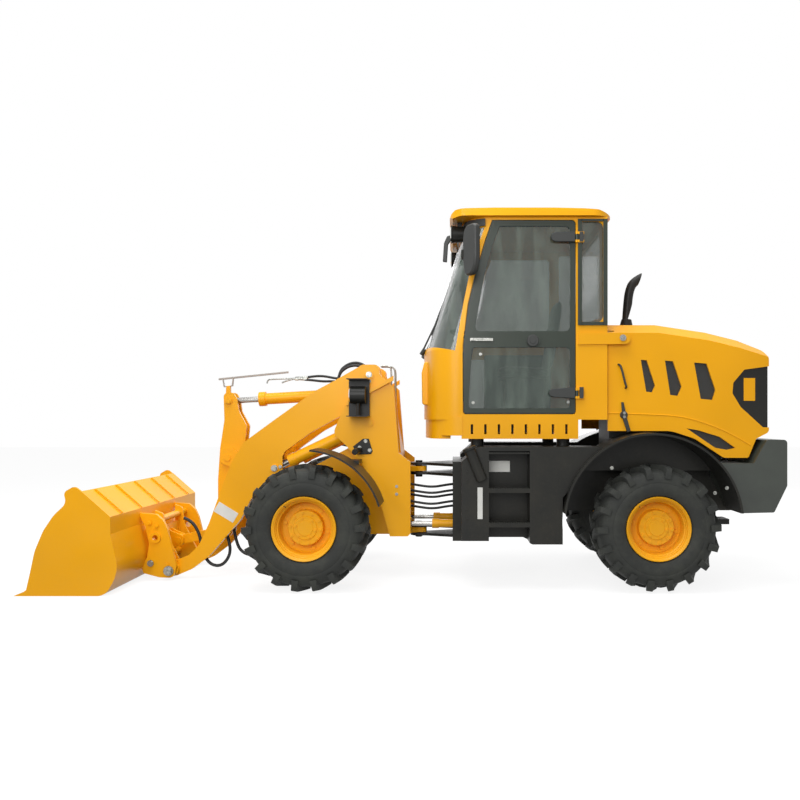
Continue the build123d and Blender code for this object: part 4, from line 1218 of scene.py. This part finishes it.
def cushion(name, centre, size, tilt, channels):
    """size in metres; channels are places along the cushion, from -1 to 1."""
    bm = bmesh.new()
    bmesh.ops.create_cube(bm, size=1)
    bmesh.ops.subdivide_edges(bm, edges=bm.edges[:], cuts=7, use_grid_fill=True)
    for vert in bm.verts:
        u, v, w = (2 * c for c in vert.co)
        crown = 1 - CROWN * max(abs(u), abs(v)) ** 4
        pinch = 1 - PINCH * (abs(u) ** 3 + abs(v) ** 3) * abs(w)
        seam = sum(SEAM_DEPTH for line in channels if abs(u - line) < SEAM_HALF)
        vert.co = (u * pinch * size[0] / 2, v * pinch * size[1] / 2,
                   w * (crown - seam * (w > 0.5)) * size[2] / 2)
    turn = Matrix.Translation(at(*centre)) @ Matrix.Rotation(radians(tilt), 4, "Y")
    bmesh.ops.transform(bm, matrix=turn, verts=bm.verts)
    obj = as_object(name, bm, 60)
    soft = obj.modifiers.new("soft", "SUBSURF")
    soft.levels = soft.render_levels = 2
    wear(obj, cloth)
    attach(obj, "rear_frame")
    return obj


pad = cushion("seat_cushion", (-950, 0, 1826), (0.45, 0.47, 0.10), -2, (-0.4, 0.3))
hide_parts("seat")
cushion("seat_back", (-1220, 0, 2150), (0.62, 0.45, 0.085), 81, (-0.45, 0.0, 0.45))
make("seat_base", "rear_frame", plastic, (slab, -1140, -780, -180, 180, 1455, 1760),
     (slab, -1180, -740, -220, 220, 1758, 1776), bevel=0.012)
print("seat with", len(pad.data.polygons), "faces in its cushion's cage")

# %% [markdown]
# The last cab trim is a strip that wraps the front corner below the door, a dark
# border round the rear quarter's glass, and a backing behind the skirt's slots.

# %% Skirt and quarter border
SKIRT = ((-392, 706), (-340, 704), (-280, 690), (-225, 655), (-180, 600), (-186, 594), (-231, 648),
         (-284, 682), (-340, 696), (-392, 698))
# columns: x from, x to, z from, z to, of the border's four strips
BORDER = ((-1380, -1346, 2176, 3056), (-1592, -1556, 2176, 3056), (-1560, -1376, 3036, 3056),
          (-1560, -1376, 2176, 2204))
make("front_skirt", "rear_frame", yellow, (plan, SKIRT, 1262, 1420))
make("quarter_border", "rear_frame", door_grey,
     *((slab, low, high, 714, 717, z_low, z_high) for low, high, z_low, z_high in BORDER))
make("skirt_backing", "rear_frame", plastic, (slab, -1330, -380, 596, 604, 1290, 1446))
print("cab trim done")

# %% [markdown]
# ## Studio
#
# A pale floor and plain soft light. The background is white because rays from the
# camera, from gloss and through glass see white there, not because of stronger lamps.

# %% Floor
# half the floor's side in metres, its own shade, and how bright it looks from the lens
FLOOR_HALF, FLOOR_SHADE, FLOOR_GLOW = 30.0, 0.2, 0.86
BACKGROUND_RAYS = ("Is Camera Ray", "Is Glossy Ray", "Is Transmission Ray")


def make_floor():
    mesh = bpy.data.meshes.new("floor")
    corners = [(x * FLOOR_HALF, y * FLOOR_HALF, 0) for x, y in ((-1, -1), (1, -1), (1, 1), (-1, 1))]
    mesh.from_pydata(corners, [], [(0, 1, 2, 3)])
    floor = link("floor", mesh)
    finish = Finish("floor_pale")
    finish.set(base_color=(FLOOR_SHADE,) * 3, roughness=1.0, specular_ior_level=0.0)
    tree = finish.tree
    glow = tree.nodes.new("ShaderNodeEmission")
    glow.inputs["Color"].default_value = (1, 1, 1, 1)
    path = tree.nodes.new("ShaderNodeLightPath")
    camera_ray, gloss_ray, glass_ray = (Flow(finish, path.outputs[ray]) for ray in BACKGROUND_RAYS)
    seen = camera_ray + gloss_ray + glass_ray
    finish.feed(glow.inputs["Strength"], seen.above(0, 1) * FLOOR_GLOW)
    both = tree.nodes.new("ShaderNodeAddShader")
    tree.links.new(finish.shader.outputs[0], both.inputs[0])
    tree.links.new(glow.outputs[0], both.inputs[1])
    tree.links.new(both.outputs[0], tree.nodes["Material Output"].inputs["Surface"])
    wear(floor, finish.material)


make_floor()
print("floor of", 2 * FLOOR_HALF, "metres")

# %% [markdown]
# Three round area lamps light the machine from above and from both sides. The sky
# is dimmer as a light than as a background.

# %% Sky and lamps
SKY_LIGHT, SKY_SEEN = 0.55, 1.0
# columns: name, place, what it looks at, size, power
LAMPS = (("overhead", (0.5, 1.5, 7.5), (0, 0, 1), 6.0, 420),
         ("near_side", (1.5, 8.5, 4.0), (0, 0, 1.3), 5.0, 330),
         ("far_side", (-2.0, -8.0, 5.0), (0, 0, 1.3), 5.0, 240))


def lamp(name, place, target, size, power):
    light = bpy.data.lights.new(name, "AREA")
    light.shape, light.size, light.energy = "DISK", size, power
    obj = link(name, light)
    obj.location = place
    obj.rotation_euler = (Vector(target) - Vector(place)).to_track_quat("-Z", "Y").to_euler()


def make_sky():
    world = bpy.data.worlds.new("sky")
    world.use_nodes = True
    bpy.context.scene.world = world
    tree = world.node_tree
    back = tree.nodes["Background"]
    path = tree.nodes.new("ShaderNodeLightPath")
    total = None
    for name in BACKGROUND_RAYS:
        add = tree.nodes.new("ShaderNodeMath")
        add.operation, add.use_clamp = "ADD", True
        tree.links.new(path.outputs[name], add.inputs[0])
        if total:
            tree.links.new(total.outputs[0], add.inputs[1])
        else:
            add.inputs[1].default_value = 0.0
        total = add
    level = tree.nodes.new("ShaderNodeMapRange")
    level.inputs["To Min"].default_value = SKY_LIGHT
    level.inputs["To Max"].default_value = SKY_SEEN
    tree.links.new(total.outputs[0], level.inputs["Value"])
    back.inputs["Color"].default_value = (1, 1, 1, 1)
    tree.links.new(level.outputs["Result"], back.inputs["Strength"])


make_sky()
for row in LAMPS:
    lamp(*row)
bpy.context.scene.view_settings.view_transform = "Standard"
print("lamps:", [row[0] for row in LAMPS])

# %% [markdown]
# ## Done
#
# The dressed machine should fill the same box as its solids.
